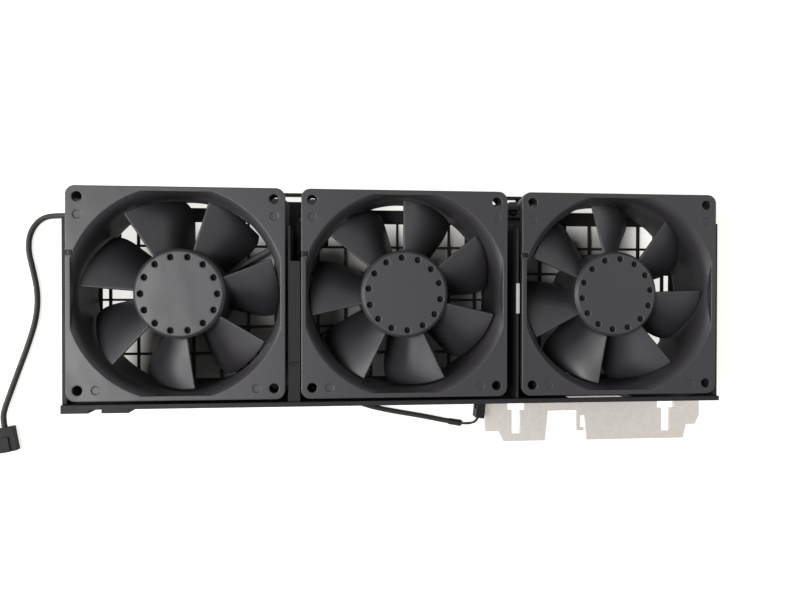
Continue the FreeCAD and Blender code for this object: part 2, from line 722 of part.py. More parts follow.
def snap_post():
    """Split post that passes through a fan's rear flange and hooks over it."""
    radius = HOLE_D / 2 - POST_CLEARANCE
    barb_r = HOLE_D / 2 + POST_BARB
    neck_top = FLOOR_T + FLANGE_T + POST_HEADROOM
    tip = neck_top + POST_BARB_HEIGHT
    post = disc(radius, FLOOR_T, neck_top)
    barb = Part.makeCone(barb_r, POST_TIP_D / 2, POST_BARB_HEIGHT, V(0, 0, neck_top))
    half = POST_SLOT / 2
    return post.fuse(barb).cut(block(-HOLE_D, HOLE_D, -half, half, FLOOR_T + FLANGE_T / 2, tip))


def side_wall():
    """Right side wall with its two windows."""
    inner = TRAY_HALF - WALL_T
    wall = block(inner, TRAY_HALF, BOTTOM_OUTER_Y, SIDE_WALL_END_Y, 0, SIDE_WALL_HEIGHT)
    low = SIDE_WINDOW_LOW
    high = SIDE_WALL_HEIGHT - SIDE_WINDOW_DROP
    half = SIDE_WEB / 2
    lower_y = BOTTOM_INNER_Y + SIDE_WINDOW_BOTTOM
    upper_y = SIDE_WALL_END_Y - SIDE_WINDOW_TOP
    cuts = [
        block(inner, TRAY_HALF, lower_y, SIDE_WEB_Y - half, low, high),
        block(inner, TRAY_HALF, SIDE_WEB_Y + half, upper_y, low, high),
    ]
    return wall.cut(cuts)


def partition(side):
    """Thin wall between two fans, nearer to the outer one."""
    x = side * PARTITION_X
    half = PARTITION_T / 2
    return block(x - half, x + half, BOTTOM_INNER_Y, PARTITION_END_Y, 0, PARTITION_TOP)


def lead_cover():
    """Shelf on the left partition that covers the middle fan's lead, with one rib across it."""
    x0 = PARTITION_T / 2 - PARTITION_X
    x1 = -(FAN_HALF + SIDE_CLEARANCE)
    shelf = block(x0, x1, BOTTOM_INNER_Y, COVER_END_Y, PARTITION_TOP - COVER_T, PARTITION_TOP)
    y0 = COVER_RIB_Y - COVER_RIB_WIDTH / 2
    rib_top = PARTITION_TOP + COVER_RIB_HEIGHT
    return shelf.fuse(block(x0, x1, y0, y0 + COVER_RIB_WIDTH, PARTITION_TOP, rib_top))


def tray_walls():
    """Bottom wall, side walls, low top rim, partitions, lead cover and lugs."""
    bottom = block(-TRAY_HALF, TRAY_HALF, BOTTOM_OUTER_Y, BOTTOM_INNER_Y, 0, BOTTOM_WALL_HEIGHT)
    top = block(-TRAY_HALF, TRAY_HALF, TOP_INNER_Y, TOP_OUTER_Y, 0, TOP_RIM_HEIGHT)
    right = side_wall()
    left = right.mirror(V(0, 0, 0), V(1, 0, 0))
    lugs = []
    low = BOTTOM_WALL_HEIGHT - LUG_HEIGHT
    for start in LUG_STARTS:
        x = start - TRAY_HALF
        y = BOTTOM_OUTER_Y - LUG_T
        lugs.append(block(x, x + LUG_LENGTH, y, BOTTOM_OUTER_Y, low, BOTTOM_WALL_HEIGHT))
    return [bottom, top, left, right, partition(-1), partition(1), lead_cover()] + lugs


def floor_cuts():
    """Windows with their guard rebates, and the row of slots along the top edge."""
    cuts = []
    for x in FAN_PLACES.values():
        cuts.append(moved(stepped_window(0, 0, FLOOR_T), x))
        cuts.append(moved(stepped_window(GUARD_SEAT, 0, GUARD_RIM_T), x))
        half = FAN_SLOT_LENGTH / 2
        end = TOP_INNER_Y - TOP_SLOT_INSET
        cuts.append(block(x - half, x + half, end - TOP_SLOT_WIDTH, end, 0, FLOOR_T))
    half = GAP_SLOT_LENGTH / 2
    for x in (-FAN_PITCH / 2, FAN_PITCH / 2):
        cuts.append(block(x - half, x + half, TOP_INNER_Y - GAP_SLOT_WIDTH, TOP_INNER_Y, 0, FLOOR_T))
    return cuts


def wall_cuts():
    """Window beside the right fan, outlet for the middle fan's lead, and the screws' pilot holes."""
    x0 = FAN_PITCH + FRONT_WINDOW_OFFSET
    x1 = x0 + FRONT_WINDOW_LENGTH
    z1 = BOTTOM_WALL_HEIGHT - FRONT_WINDOW_DROP
    window = block(x0, x1, BOTTOM_OUTER_Y, BOTTOM_INNER_Y, z1 - FRONT_WINDOW_HEIGHT, z1)
    x0 = LEAD_OUTLET_START - FAN_HALF
    x1 = x0 + LEAD_OUTLET_LENGTH
    z1 = LEAD_OUTLET_LOW + LEAD_OUTLET_HEIGHT
    outlet = block(x0, x1, BOTTOM_OUTER_Y, BOTTOM_INNER_Y, LEAD_OUTLET_LOW, z1)
    pilot_r = SCREW_D / 2 + THREAD_CLEARANCE
    pilots = [along_y(pilot_r, x, BOTTOM_OUTER_Y, BOTTOM_INNER_Y + BOSS_LENGTH) for x in SCREW_PLACES]
    return [window, outlet] + pilots


def along_y(radius, x, y0, y1):
    """Cylinder along Y at the height of the bracket's screws."""
    return Part.makeCylinder(radius, y1 - y0, V(x, y0, SCREW_Z), V(0, 1, 0))


def fan_tray():
    """Moulded cradle that holds the three fans by snap posts."""
    tray = block(-TRAY_HALF, TRAY_HALF, BOTTOM_OUTER_Y, TOP_OUTER_Y, 0, FLOOR_T)
    tray = tray.cut(floor_cuts())
    posts = [moved(snap_post(), x + hx, hy) for x in FAN_PLACES.values() for hx, hy in hole_places()]
    bosses = [along_y(BOSS_D / 2, x, BOTTOM_INNER_Y, BOTTOM_INNER_Y + BOSS_LENGTH) for x in SCREW_PLACES]
    tray = tray.fuse(tray_walls() + posts + bosses)
    return tray.cut(wall_cuts()).removeSplitter()


def bracket_leg():
    """Upright flange of the bracket with its bend, against the tray's bottom wall."""
    outer_r = BEND_R + SHEET_T
    heel_y = LEG_OUTER_Y - BEND_R
    end_y = heel_y - HEEL_OVERLAP
    step = math.sqrt(0.5)
    centre = V(LEG_START_X, heel_y, outer_r)

    def corner(y, z):
        return V(LEG_START_X, y, z)

    outer_middle = centre + V(0, outer_r * step, -outer_r * step)
    inner_middle = centre + V(0, BEND_R * step, -BEND_R * step)
    edges = [
        Part.makeLine(corner(end_y, 0), corner(heel_y, 0)),
        Part.Arc(corner(heel_y, 0), outer_middle, corner(BOTTOM_OUTER_Y, outer_r)).toShape(),
        Part.makeLine(corner(BOTTOM_OUTER_Y, outer_r), corner(BOTTOM_OUTER_Y, LEG_HEIGHT)),
        Part.makeLine(corner(BOTTOM_OUTER_Y, LEG_HEIGHT), corner(LEG_OUTER_Y, LEG_HEIGHT)),
        Part.makeLine(corner(LEG_OUTER_Y, LEG_HEIGHT), corner(LEG_OUTER_Y, outer_r)),
        Part.Arc(corner(LEG_OUTER_Y, outer_r), inner_middle, corner(heel_y, SHEET_T)).toShape(),
        Part.makeLine(corner(heel_y, SHEET_T), corner(end_y, SHEET_T)),
        Part.makeLine(corner(end_y, SHEET_T), corner(end_y, 0)),
    ]
    leg = Part.Face(Part.Wire(edges)).extrude(V(LEG_LENGTH, 0, 0))
    hole_r = SCREW_D / 2 + SCREW_HOLE_CLEARANCE
    return leg.cut([along_y(hole_r, x, LEG_OUTER_Y, BOTTOM_OUTER_Y) for x in SCREW_PLACES])


def keyhole_slot(x):
    """T-shaped slot: a wide head that admits a stud and a stem that holds it."""
    head_y = LEG_OUTER_Y - SLOT_HEAD_START
    neck_y = head_y - SLOT_HEAD_LENGTH
    wide = SLOT_HEAD_WIDTH / 2
    narrow = SLOT_STEM_WIDTH / 2
    head = block(x - wide, x + wide, neck_y, head_y, 0, SHEET_T)
    stem = block(x - narrow, x + narrow, neck_y - SLOT_STEM_LENGTH, neck_y, 0, SHEET_T)
    return head.fuse(stem)


def bracket_outline():
    """Outline of the flat plate: shouldered left tab, notch with a small hook, stepped right end."""
    left = FAN_PITCH + BRACKET_START
    right = left + BRACKET_LENGTH
    back = LEG_OUTER_Y - BEND_R
    end = LEG_OUTER_Y - BRACKET_REACH
    notch_left = FAN_PITCH + NOTCH_START
    hook = notch_left + NOTCH_WIDTH
    notch_top = end + NOTCH_DEPTH
    hook_end = notch_top - HOOK_LENGTH
    foot_top = hook_end + HOOK_FOOT_HEIGHT
    slit = hook + HOOK_WIDTH
    slit_top = notch_top - HOOK_SLIT_TOP
    tongue = slit + HOOK_SLIT_WIDTH
    step = right - END_STEP_LENGTH
    step_y = end + END_STEP_HEIGHT
    corners = [
        (left, back),
        (left, end + SHOULDER_HEIGHT),
        (left + SHOULDER_LENGTH, end + SHOULDER_HEIGHT),
        (left + SHOULDER_LENGTH + SHOULDER_SLOPE, end),
        (notch_left, end),
        (notch_left + NOTCH_TAPER, notch_top),
        (hook, notch_top),
        (hook, hook_end),
        (hook + HOOK_FOOT_LENGTH, hook_end),
        (hook + HOOK_FOOT_LENGTH, foot_top),
        (slit, foot_top),
        (slit, slit_top),
        (tongue, slit_top),
        (tongue + TONGUE_TAPER, end),
        (step - END_STEP_TAPER, end),
        (step, step_y),
        (right - END_CHAMFER / 2, step_y),
        (right, step_y + END_CHAMFER),
        (right, back),
    ]
    return [V(x, y, 0) for x, y in corners]


def keyhole_bracket():
    """Galvanised sheet: a flat plate with two keyhole slots and an upright flange."""
    sheet = prism(bracket_outline(), V(0, 0, SHEET_T)).fuse(bracket_leg())
    return sheet.cut([keyhole_slot(FAN_PITCH + x) for x in SLOT_OFFSETS]).removeSplitter()


def bracket_screws():
    """Pan-head screws that hold the bracket's flange to the tray."""
    screws = []
    for x in SCREW_PLACES:
        head = along_y(SCREW_HEAD_D / 2, x, LEG_OUTER_Y - SCREW_HEAD_T, LEG_OUTER_Y)
        screws.append(head.fuse(along_y(SCREW_D / 2, x, LEG_OUTER_Y, LEG_OUTER_Y + SCREW_LENGTH)))
    return Part.makeCompound(screws)


def partition_clip():
    """Spring-steel channel on the front edge of the partition beside the right fan."""
    half = PARTITION_T / 2
    outer = half + EDGE_CLIP_T
    low = PARTITION_TOP - EDGE_CLIP_DEPTH
    y0 = EDGE_CLIP_START_Y
    y1 = y0 + EDGE_CLIP_LENGTH
    clip = block(-outer, outer, y0, y1, low, PARTITION_TOP + EDGE_CLIP_T)
    return moved(clip.cut(block(-half, half, y0, y1, low, PARTITION_TOP)), PARTITION_X)


def lead_tube(name, route, diameter):
    """Round lead along straight runs joined by arcs as large as the runs allow."""
    edges = []
    radii = []
    start = route[0]
    for before, point, after in zip(route, route[1:], route[2:]):
        come = (point - before).normalize()
        go = (after - point).normalize()
        turn = come.getAngle(go)
        reach = ARC_SHARE * min((point - before).Length, (after - point).Length)
        radius = reach / math.tan(turn / 2)
        radii.append(round(radius, 1))
        enter = point - come * reach
        leave = point + go * reach
        inward = (go - come).normalize()
        middle = point + inward * (radius / math.cos(turn / 2) - radius)
        edges.append(Part.LineSegment(start, enter).toShape())
        edges.append(Part.Arc(enter, middle, leave).toShape())
        start = leave
    edges.append(Part.LineSegment(start, route[-1]).toShape())
    path = Part.Wire(edges)
    circle = Part.makeCircle(diameter / 2, route[0], route[1] - route[0])
    tube = path.makePipeShell([Part.Wire(circle)], True, True)
    expected = math.pi * diameter ** 2 / 4 * path.Length
    print(f"{name}: length {path.Length:.1f}, radii {radii}, volume ratio {tube.Volume / expected:.4f}")
    return tube


def plug_ways():
    """Sideways places of a plug's cavities."""
    return [(k - (PLUG_WAYS - 1) / 2) * PLUG_PITCH for k in range(PLUG_WAYS)]


def plug_housing():
    """Plug body along +X from its wire side, with open cavities and a polarising rib."""
    body = block(0, PLUG_LENGTH, -PLUG_WIDTH / 2, PLUG_WIDTH / 2, -PLUG_HEIGHT / 2, PLUG_HEIGHT / 2)
    half = PLUG_CAVITY / 2
    start = PLUG_LENGTH - PLUG_CAVITY_DEPTH
    body = body.cut([block(start, PLUG_LENGTH, y - half, y + half, -half, half) for y in plug_ways()])
    rib_half = PLUG_RIB_WIDTH / 2
    top = PLUG_HEIGHT / 2
    rib_start = PLUG_LENGTH - PLUG_RIB_LENGTH
    rib = block(rib_start, PLUG_LENGTH, -rib_half, rib_half, top, top + PLUG_RIB_HEIGHT)
    return body.fuse(rib).removeSplitter()


def plug_terminals():
    """Metal contacts in the cavities of a plug."""
    half = TERMINAL_WIDTH / 2
    start = PLUG_LENGTH - PLUG_CAVITY_DEPTH
    end = start + TERMINAL_LENGTH
    high = PLUG_CAVITY / 2
    return Part.makeCompound([block(start, end, y - half, y + half, -high, high) for y in plug_ways()])


def placed_plug(shape, route, roll, sink):
    """Plug piece at the end of a lead, its axis level and along the lead's last run."""
    run = route[-1] - route[-2]
    level = V(run.x, run.y, 0).normalize()
    heading = math.degrees(math.atan2(level.y, level.x))
    piece = spun(shape.rotated(V(0, 0, 0), V(1, 0, 0), roll), heading)
    return piece.translated(route[-1] - level * sink)


def fan_pieces(side):
    """All pieces of one fan, named for its place in the row."""
    pieces = {
        f"{side}_fan_frame": fan_frame(),
        f"{side}_bearing_sleeve": bearing_sleeve(),
        f"{side}_bearing_outer_rings": bearing_outer_rings(),
        f"{side}_stator_core": stator_core(),
        f"{side}_stator_coils": stator_coils(),
        f"{side}_circuit_board": circuit_board(),
        f"{side}_fan_impeller": spun(fan_impeller(), REST_PHASES[side]),
        f"{side}_rotor_yoke": rotor_yoke(),
        f"{side}_rotor_magnet": rotor_magnet(),
        f"{side}_rotor_shaft": rotor_shaft(),
        f"{side}_bearing_inner_rings": bearing_inner_rings(),
        f"{side}_preload_spring": preload_spring(),
        f"{side}_shaft_clip": shaft_clip(),
    }
    return {name: moved(shape, FAN_PLACES[side], 0, FLOOR_T) for name, shape in pieces.items()}


def lead_pieces():
    """Leads of the left and middle fans with their plugs."""
    housing = plug_housing()
    terminals = plug_terminals()
    return {
        "left_lead_held": lead_tube("left_lead_held", LEFT_HELD_ROUTE, LEAD_D),
        "left_lead": lead_tube("left_lead", LEFT_FREE_ROUTE, LEAD_D),
        "left_plug": placed_plug(housing, LEFT_FREE_ROUTE, 0, 0),
        "left_plug_terminals": placed_plug(terminals, LEFT_FREE_ROUTE, 0, 0),
        "middle_lead_held": lead_tube("middle_lead_held", MIDDLE_HELD_ROUTE, LEAD_D),
        "middle_lead": lead_tube("middle_lead", MIDDLE_FREE_ROUTE, LEAD_D),
        "middle_lead_wires": lead_tube("middle_lead_wires", WIRE_ROUTE, WIRE_BUNDLE_D),
        "middle_plug": placed_plug(housing, WIRE_ROUTE, -90, WIRE_ENTRY),
        "middle_plug_terminals": placed_plug(terminals, WIRE_ROUTE, -90, WIRE_ENTRY),
    }


def main():
    """Build every piece and write each to its own file."""
    pieces = {
        "fan_tray": fan_tray(),
        "keyhole_bracket": keyhole_bracket(),
        "bracket_screws": bracket_screws(),
        "partition_clip": partition_clip(),
    }
    guard = rear_guard()
    for side, x in FAN_PLACES.items():
        pieces[f"{side}_rear_guard"] = moved(guard, x)
        pieces.update(fan_pieces(side))
    pieces.update(lead_pieces())
    os.makedirs("parts", exist_ok=True)
    for name, shape in pieces.items():
        shape.exportStep(f"parts/{name}.step")
        print(f"{name}: {len(shape.Solids)} solids, {shape.Volume / 1000:.2f} cm3, valid {shape.isValid()}")


main()
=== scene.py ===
import math

import bmesh
import bpy
from mathutils import Matrix, Vector


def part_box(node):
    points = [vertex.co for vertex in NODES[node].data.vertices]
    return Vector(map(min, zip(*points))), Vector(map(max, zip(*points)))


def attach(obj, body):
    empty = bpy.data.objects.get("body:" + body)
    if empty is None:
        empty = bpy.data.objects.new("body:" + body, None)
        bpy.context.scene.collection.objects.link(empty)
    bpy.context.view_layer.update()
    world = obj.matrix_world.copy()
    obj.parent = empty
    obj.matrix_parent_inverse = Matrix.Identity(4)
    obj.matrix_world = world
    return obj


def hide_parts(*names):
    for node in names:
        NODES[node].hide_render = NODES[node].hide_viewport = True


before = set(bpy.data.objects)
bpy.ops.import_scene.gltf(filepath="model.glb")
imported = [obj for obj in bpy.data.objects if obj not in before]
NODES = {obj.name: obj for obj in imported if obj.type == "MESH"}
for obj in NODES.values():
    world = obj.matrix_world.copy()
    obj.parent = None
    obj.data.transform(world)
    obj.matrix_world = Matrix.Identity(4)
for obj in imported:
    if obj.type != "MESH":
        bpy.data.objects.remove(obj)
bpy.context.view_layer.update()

bl_info = {
    "name": "Server fan assembly",
    "version": (1, 0, 0),
    "blender": (4, 5, 0),
    "location": "View3D > Sidebar > Fan assembly",
    "description": "Dresses the packed model of a row of three fans in a moulded tray",
    "category": "Object",
}

SIDES = ("left", "middle", "right")
MM = 0.001

# Routes of the free leads, the same control points as the solids have, in metres
LEFT_ROUTE = (
    (-0.1450, 0.0363, 0.0057),
    (-0.1520, 0.0363, 0.0057),
    (-0.1604, 0.0370, 0.0023),
    (-0.1690, 0.0363, 0.0013),
    (-0.1744, 0.0299, 0.0013),
    (-0.1757, 0.0212, 0.0013),
    (-0.1734, 0.0114, 0.0013),
    (-0.1712, 0.0004, 0.0013),
    (-0.1718, -0.0112, 0.0013),
    (-0.1754, -0.0236, 0.0013),
    (-0.1803, -0.0370, 0.0013),
    (-0.1843, -0.0484, 0.0014),
    (-0.1863, -0.0546, 0.0018),
    (-0.1869, -0.0589, 0.0021),
    (-0.1861, -0.0632, 0.0021),
)
MIDDLE_ROUTE = (
    (-0.0279, -0.0499, 0.0087),
    (-0.0208, -0.0525, 0.0078),
    (-0.0116, -0.0562, 0.0030),
    (-0.0006, -0.0588, 0.0013),
    (0.0136, -0.0613, 0.0013),
    (0.0252, -0.0639, 0.0013),
    (0.0322, -0.0651, 0.0013),
)
WIRE_ROUTE = (
    (0.0322, -0.0651, 0.0013),
    (0.0352, -0.06561, 0.0013),
    (0.0404, -0.0642, 0.0029),
    (0.0408, -0.0602, 0.0041),
)

# Fineness of the leads' curves, and the bare wires' number, roundness and twist
CURVE_STEPS = 16
CURVE_ROUNDNESS = 5
WIRE_COUNT = 4
WIRE_SIDES = 12
WIRE_TWIST = 1.5 * math.pi

# Shrink tube: its sides, its reach past the sleeve, and its swell (share of its length, share of its width)
SHRINK_SIDES = 24
SHRINK_PAST = 0.6 * MM
SHRINK_SWELL = (
    (0.0, 0.80), (0.04, 0.93), (0.12, 0.98), (0.5, 0.97), (0.82, 1.0), (0.93, 0.92), (1.0, 0.6))

# Screw's pan head from its middle to its rim (share of its radius, share of its height)
HEAD_OUTLINE = ((0.0, 1.0), (0.45, 1.0), (0.8, 0.9), (0.96, 0.62), (1.0, 0.3), (1.0, 0.0))
SCREW_STEPS = 32

# Thread: root as a share of the crest, then where a ridge starts, peaks and ends, in pitches
THREAD_ROOT = 0.78
RIDGE_START = 0.5
RIDGE_PEAK = 0.4
RIDGE_END = 0.8
TIP_WIDTH = 0.5
TIP_SLOPE = 0.1

# Cross recess: half its reach and half its width by the head's radius, its ends by the head's height
RECESS_REACH = 0.58
RECESS_WIDTH = 0.13
RECESS_TOP = 1.2
RECESS_FLOOR = 0.35
RECESS_TAPER = 0.35

# Moulded plastic: flow clouds, paler edges by the bend at an edge (wear and a painted highlight), and painted
# shade in pockets
EDGE_SAMPLES = 6
FLOW_STRETCH = (1.0, 0.45, 1.0)
FLOW_DARK = 0.78
FLOW_LIGHT = 1.22
FLOW_GLOSS = 0.05
WEAR_HIGHLIGHT_START = 0.99
WEAR_HIGHLIGHT_END = 0.78
WEAR_HIGHLIGHT_SHARE = 0.32
POCKET_SIZE = 2.5 * MM
POCKET_SHUT = 0.4
POCKET_OPEN = 0.85
PAINTED_SHADE_SHARE = 0.95
PAINTED_SHADE_TONE = 0.12
PAINTED_SHADE_ROUGHNESS = 0.95
GRAIN_DEPTH = 0.05

# Metal: spangle and rolling lines of the zinc, turning marks of the rest
SPANGLE_SIZE = 1.6 * MM
SPANGLE_WARP = 0.0012
ROLLING_SCALE = (30.0, 1500.0, 1500.0)
ROLLING_SHARE = 0.4
TURNING_STRETCH = (0.15, 0.15, 1.0)

# Stage: the floor's glow and clouds, and the camera's sensor and nearest distance
GLOW_COLOUR = (1.0, 0.985, 0.95, 1.0)
FLOOR_CLOUD = 250.0
SENSOR_WIDTH = 36.0
NEAREST_SEEN = 0.01


def linear(code):
    """Linear colour of an sRGB hex value."""
    channels = [int(code[k:k + 2], 16) / 255 for k in (1, 3, 5)]
    return tuple(c / 12.92 if c <= 0.04045 else ((c + 0.055) / 1.055) ** 2.4 for c in channels)


def colour(name, description, code):
    """Colour property with its default from a hex value."""
    return bpy.props.FloatVectorProperty(
        name=name, description=description, subtype="COLOR", size=3, min=0, max=1, default=linear(code))


def length(name, description, default):
    """Length property in metres."""
    return bpy.props.FloatProperty(
        name=name, description=description, subtype="DISTANCE", unit="LENGTH", precision=5, min=0,
        default=default)


class FanFinishes(bpy.types.PropertyGroup):
    """Colours of the finishes."""

    tray: colour("Tray", "Black ABS of the tray and its guards", "#232123")
    frames: colour("Fan frames", "Black glass-filled plastic of the fan frames", "#2a282b")
    blades: colour("Impellers", "Grey-black glass-filled plastic of the impellers", "#312f32")
    # Colour of the paler edges: wear together with a painted highlight
    edges: colour("Moulded edges", "Paler plastic where edges are rubbed", "#6a686a")
    sheet: colour("Bracket", "Zinc coat of the bracket's sheet steel", "#c9c3be")
    steel: colour("Steel", "Bright steel of screws, shafts and bearings", "#b9b8b6")
    yoke: colour("Yoke", "Phosphated steel of the rotor yokes", "#5d5e60")
    core: colour("Stator core", "Coated electrical steel of the stator cores", "#74777a")
    magnet: colour("Magnet", "Bonded ferrite of the ring magnets", "#26262a")
    brass: colour("Sleeve", "Turned brass of the bearing sleeves", "#b08d4c")
    copper: colour("Windings", "Enamelled copper wire", "#9c4f24")
    board: colour("Circuit board", "Solder mask of the circuit boards", "#1d5a34")
    jacket: colour("Lead sleeve", "Black PVC sleeve of the leads", "#2c2a28")
    shrink: colour("Shrink tube", "Shrink tube at the sleeve's end", "#1b1a1a")
    wires: colour("Wires", "PVC insulation of the bare wires", "#1d1b1b")
    plugs: colour("Plugs", "Black nylon of the plugs", "#191818")
    tin: colour("Terminals", "Tin plate of the plug terminals", "#c6c4bd")


class FanLeads(bpy.types.PropertyGroup):
    """Sizes of the leads and fasteners."""

    lead: length("Lead diameter", "Outside of the sleeved lead", 2.6 * MM)
    wire: length("Wire diameter", "Outside of one insulated wire", 0.62 * MM)
    bundle: length("Bundle radius", "Circle on which the wires' centres lie", 0.33 * MM)
    shrink_length: length("Shrink tube length", "Length of the tube on the sleeve's end", 7.0 * MM)
    shrink_width: length("Shrink tube width", "Width of the flattened tube", 3.3 * MM)
    screw_head: length("Screw head diameter", "Pan head of a bracket screw", 5.6 * MM)
    screw_head_height: length("Screw head height", "Height of the pan head", 2.0 * MM)
    screw_shank: length("Screw diameter", "Outside of a bracket screw's thread", 2.9 * MM)
    screw_length: length("Screw length", "Length under the head", 6.5 * MM)
    thread_pitch: length("Thread pitch", "Distance between the thread's crests", 1.1 * MM)


class FanStage(bpy.types.PropertyGroup):
    """Camera, floor and light."""

    lens: bpy.props.FloatProperty(
        name="Lens", description="Focal length on a 36 mm sensor", unit="CAMERA", default=31.5)
    eye: bpy.props.FloatVectorProperty(
        name="Camera place", description="Where the camera stands", subtype="TRANSLATION", unit="LENGTH",
        default=(-0.03422, 0.00038, 0.34901))
    aim: bpy.props.FloatVectorProperty(
        name="Camera turn", description="Rotation of the camera", subtype="EULER", unit="ROTATION",
        default=(-0.010, -0.102, 0.001))
    floor_size: length("Floor size", "Side of the floor", 6.0)
    floor_gap: length("Floor gap", "Height of the object above the floor", 0.2 * MM)
    floor: colour("Floor", "Pale table top, which shows its white by the glow below", "#b7b5b1")
    glow: bpy.props.FloatProperty(
        name="Floor glow", description="White that an open stretch of the floor shows by itself", default=0.8)
    # Painted light and shadow on the floor under the tray: how far its glow reaches in from the ends and the
    # top edge before it dims
    painted_light_end_whole: length("White at the ends", "How far the whole white reaches under the tray's ends", 0.014)
    painted_light_end_reach: length("Light from the ends", "How far the fading white reaches there", 0.034)
    painted_light_end_slant: bpy.props.FloatProperty(
        name="Slant of the left end's light",
        description="How much less of it reaches in, towards the bracket", default=0.18)
    painted_light_top_whole: length("White at the top", "How far the whole white reaches under the tray's top edge", 0.005)
    painted_light_top_reach: length("Light from the top", "How far the fading white reaches there", 0.029)
    painted_light_top_slant: bpy.props.FloatProperty(
        name="Slant of the top's light", description="How much less of it reaches in, along the row",
        default=0.055)
    # Share of the floor's painted light and shadow under the tray that glossy faces mirror
    gloss_share: bpy.props.FloatProperty(
        name="Mirrored white", description="Share of the fading white that shiny faces mirror", default=0.35)
    sky: bpy.props.FloatProperty(
        name="Room light", description="Level of the light from all round", default=0.16)
    key_place: bpy.props.FloatVectorProperty(
        name="Softbox place", description="Middle of the softbox above the left end", subtype="TRANSLATION",
        unit="LENGTH", default=(-0.50, -0.07, 0.82))
    key_size: length("Softbox size", "Side of the softbox", 0.4)
    key_power: bpy.props.FloatProperty(
        name="Softbox power", description="Radiant power of the softbox", unit="POWER", default=7.0)
    window_place: bpy.props.FloatVectorProperty(
        name="Window place", description="Middle of the low window at the left", subtype="TRANSLATION",
        unit="LENGTH", default=(-0.95, -0.03, 0.26))
    window_width: length("Window width", "Width of the window", 0.6)
    window_height: length("Window height", "Height of the window", 0.4)
    window_power: bpy.props.FloatProperty(
        name="Window power", description="Radiant power of the window", unit="POWER", default=8.2)
    fill_place: bpy.props.FloatVectorProperty(
        name="Fill place", description="Middle of the weak lamp at the right", subtype="TRANSLATION",
        unit="LENGTH", default=(0.80, 0.25, 0.55))
    fill_size: length("Fill size", "Side of the weak lamp", 0.5)
    fill_power: bpy.props.FloatProperty(
        name="Fill power", description="Radiant power of the weak lamp", unit="POWER", default=1.4)


def add(tree, kind, inputs=None, **settings):
    """Add a node with its settings; an input that is a socket becomes a link, any other a value."""
    node = tree.nodes.new(kind)
    for key, value in settings.items():
        setattr(node, key, value)
    for key, value in (inputs or {}).items():
        if isinstance(value, bpy.types.NodeSocket):
            tree.links.new(value, node.inputs[key])
        else:
            node.inputs[key].default_value = value
    return node


def start_material(name, inputs):
    """New material; returns it with its tree, its shader and the object coordinates."""
    material = bpy.data.materials.new(name)
    material.use_nodes = True
    tree = material.node_tree
    tree.nodes.clear()
    shader = add(tree, "ShaderNodeBsdfPrincipled", inputs)
    add(tree, "ShaderNodeOutputMaterial", {"Surface": shader.outputs["BSDF"]})
    place = add(tree, "ShaderNodeTexCoord").outputs["Object"]
    return material, tree, shader, place


def opaque(rgb, level=1.0):
    """Colour with its alpha, made darker or lighter."""
    return tuple(min(c * level, 1.0) for c in rgb) + (1.0,)


def noise(tree, place, size, detail):
    """Noise whose cells are about a given size in millimetres."""
    return add(
        tree, "ShaderNodeTexNoise",
        {"Vector": place, "Scale": 1 / (size * MM), "Detail": detail}).outputs["Fac"]


def stretched(tree, place, scale):
    """Coordinates scaled along each axis."""
    return add(tree, "ShaderNodeMapping", {"Vector": place, "Scale": scale}).outputs["Vector"]


def mixed(tree, share, one, other):
    """Colour that goes from one to another with a share."""
    return add(tree, "ShaderNodeMix", {0: share, 6: one, 7: other}, data_type="RGBA").outputs[2]


def graded(tree, value, start, end, low, high):
    """Value mapped from start and end to low and high, and held at both."""
    return add(
        tree, "ShaderNodeMapRange",
        {"Value": value, "From Min": start, "From Max": end, "To Min": low, "To Max": high}).outputs["Result"]


def rounded(tree, radius):
    """Normal of the surface with its edges rounded by a radius in millimetres."""
    return add(tree, "ShaderNodeBevel", {"Radius": radius * MM}, samples=EDGE_SAMPLES).outputs["Normal"]


def shade(tree, shader, share, rgb, dark, light):
    """Let a share set the shader's colour between a darker and a lighter tone."""
    tone = mixed(tree, share, opaque(rgb, dark), opaque(rgb, light))
    tree.links.new(tone, shader.inputs["Base Color"])


def polish(tree, shader, share, dull, bright):
    """Let a share set the shader's roughness between a dull and a brighter value."""
    gloss = graded(tree, share, 0.0, 1.0, dull, bright)
    tree.links.new(gloss, shader.inputs["Roughness"])


def dent(tree, shader, height, strength, depth, **inputs):
    """Let a height dent the shader's surface, by a depth in millimetres."""
    bump = add(
        tree, "ShaderNodeBump", {"Strength": strength, "Distance": depth * MM, "Height": height, **inputs})
    tree.links.new(bump.outputs["Normal"], shader.inputs["Normal"])


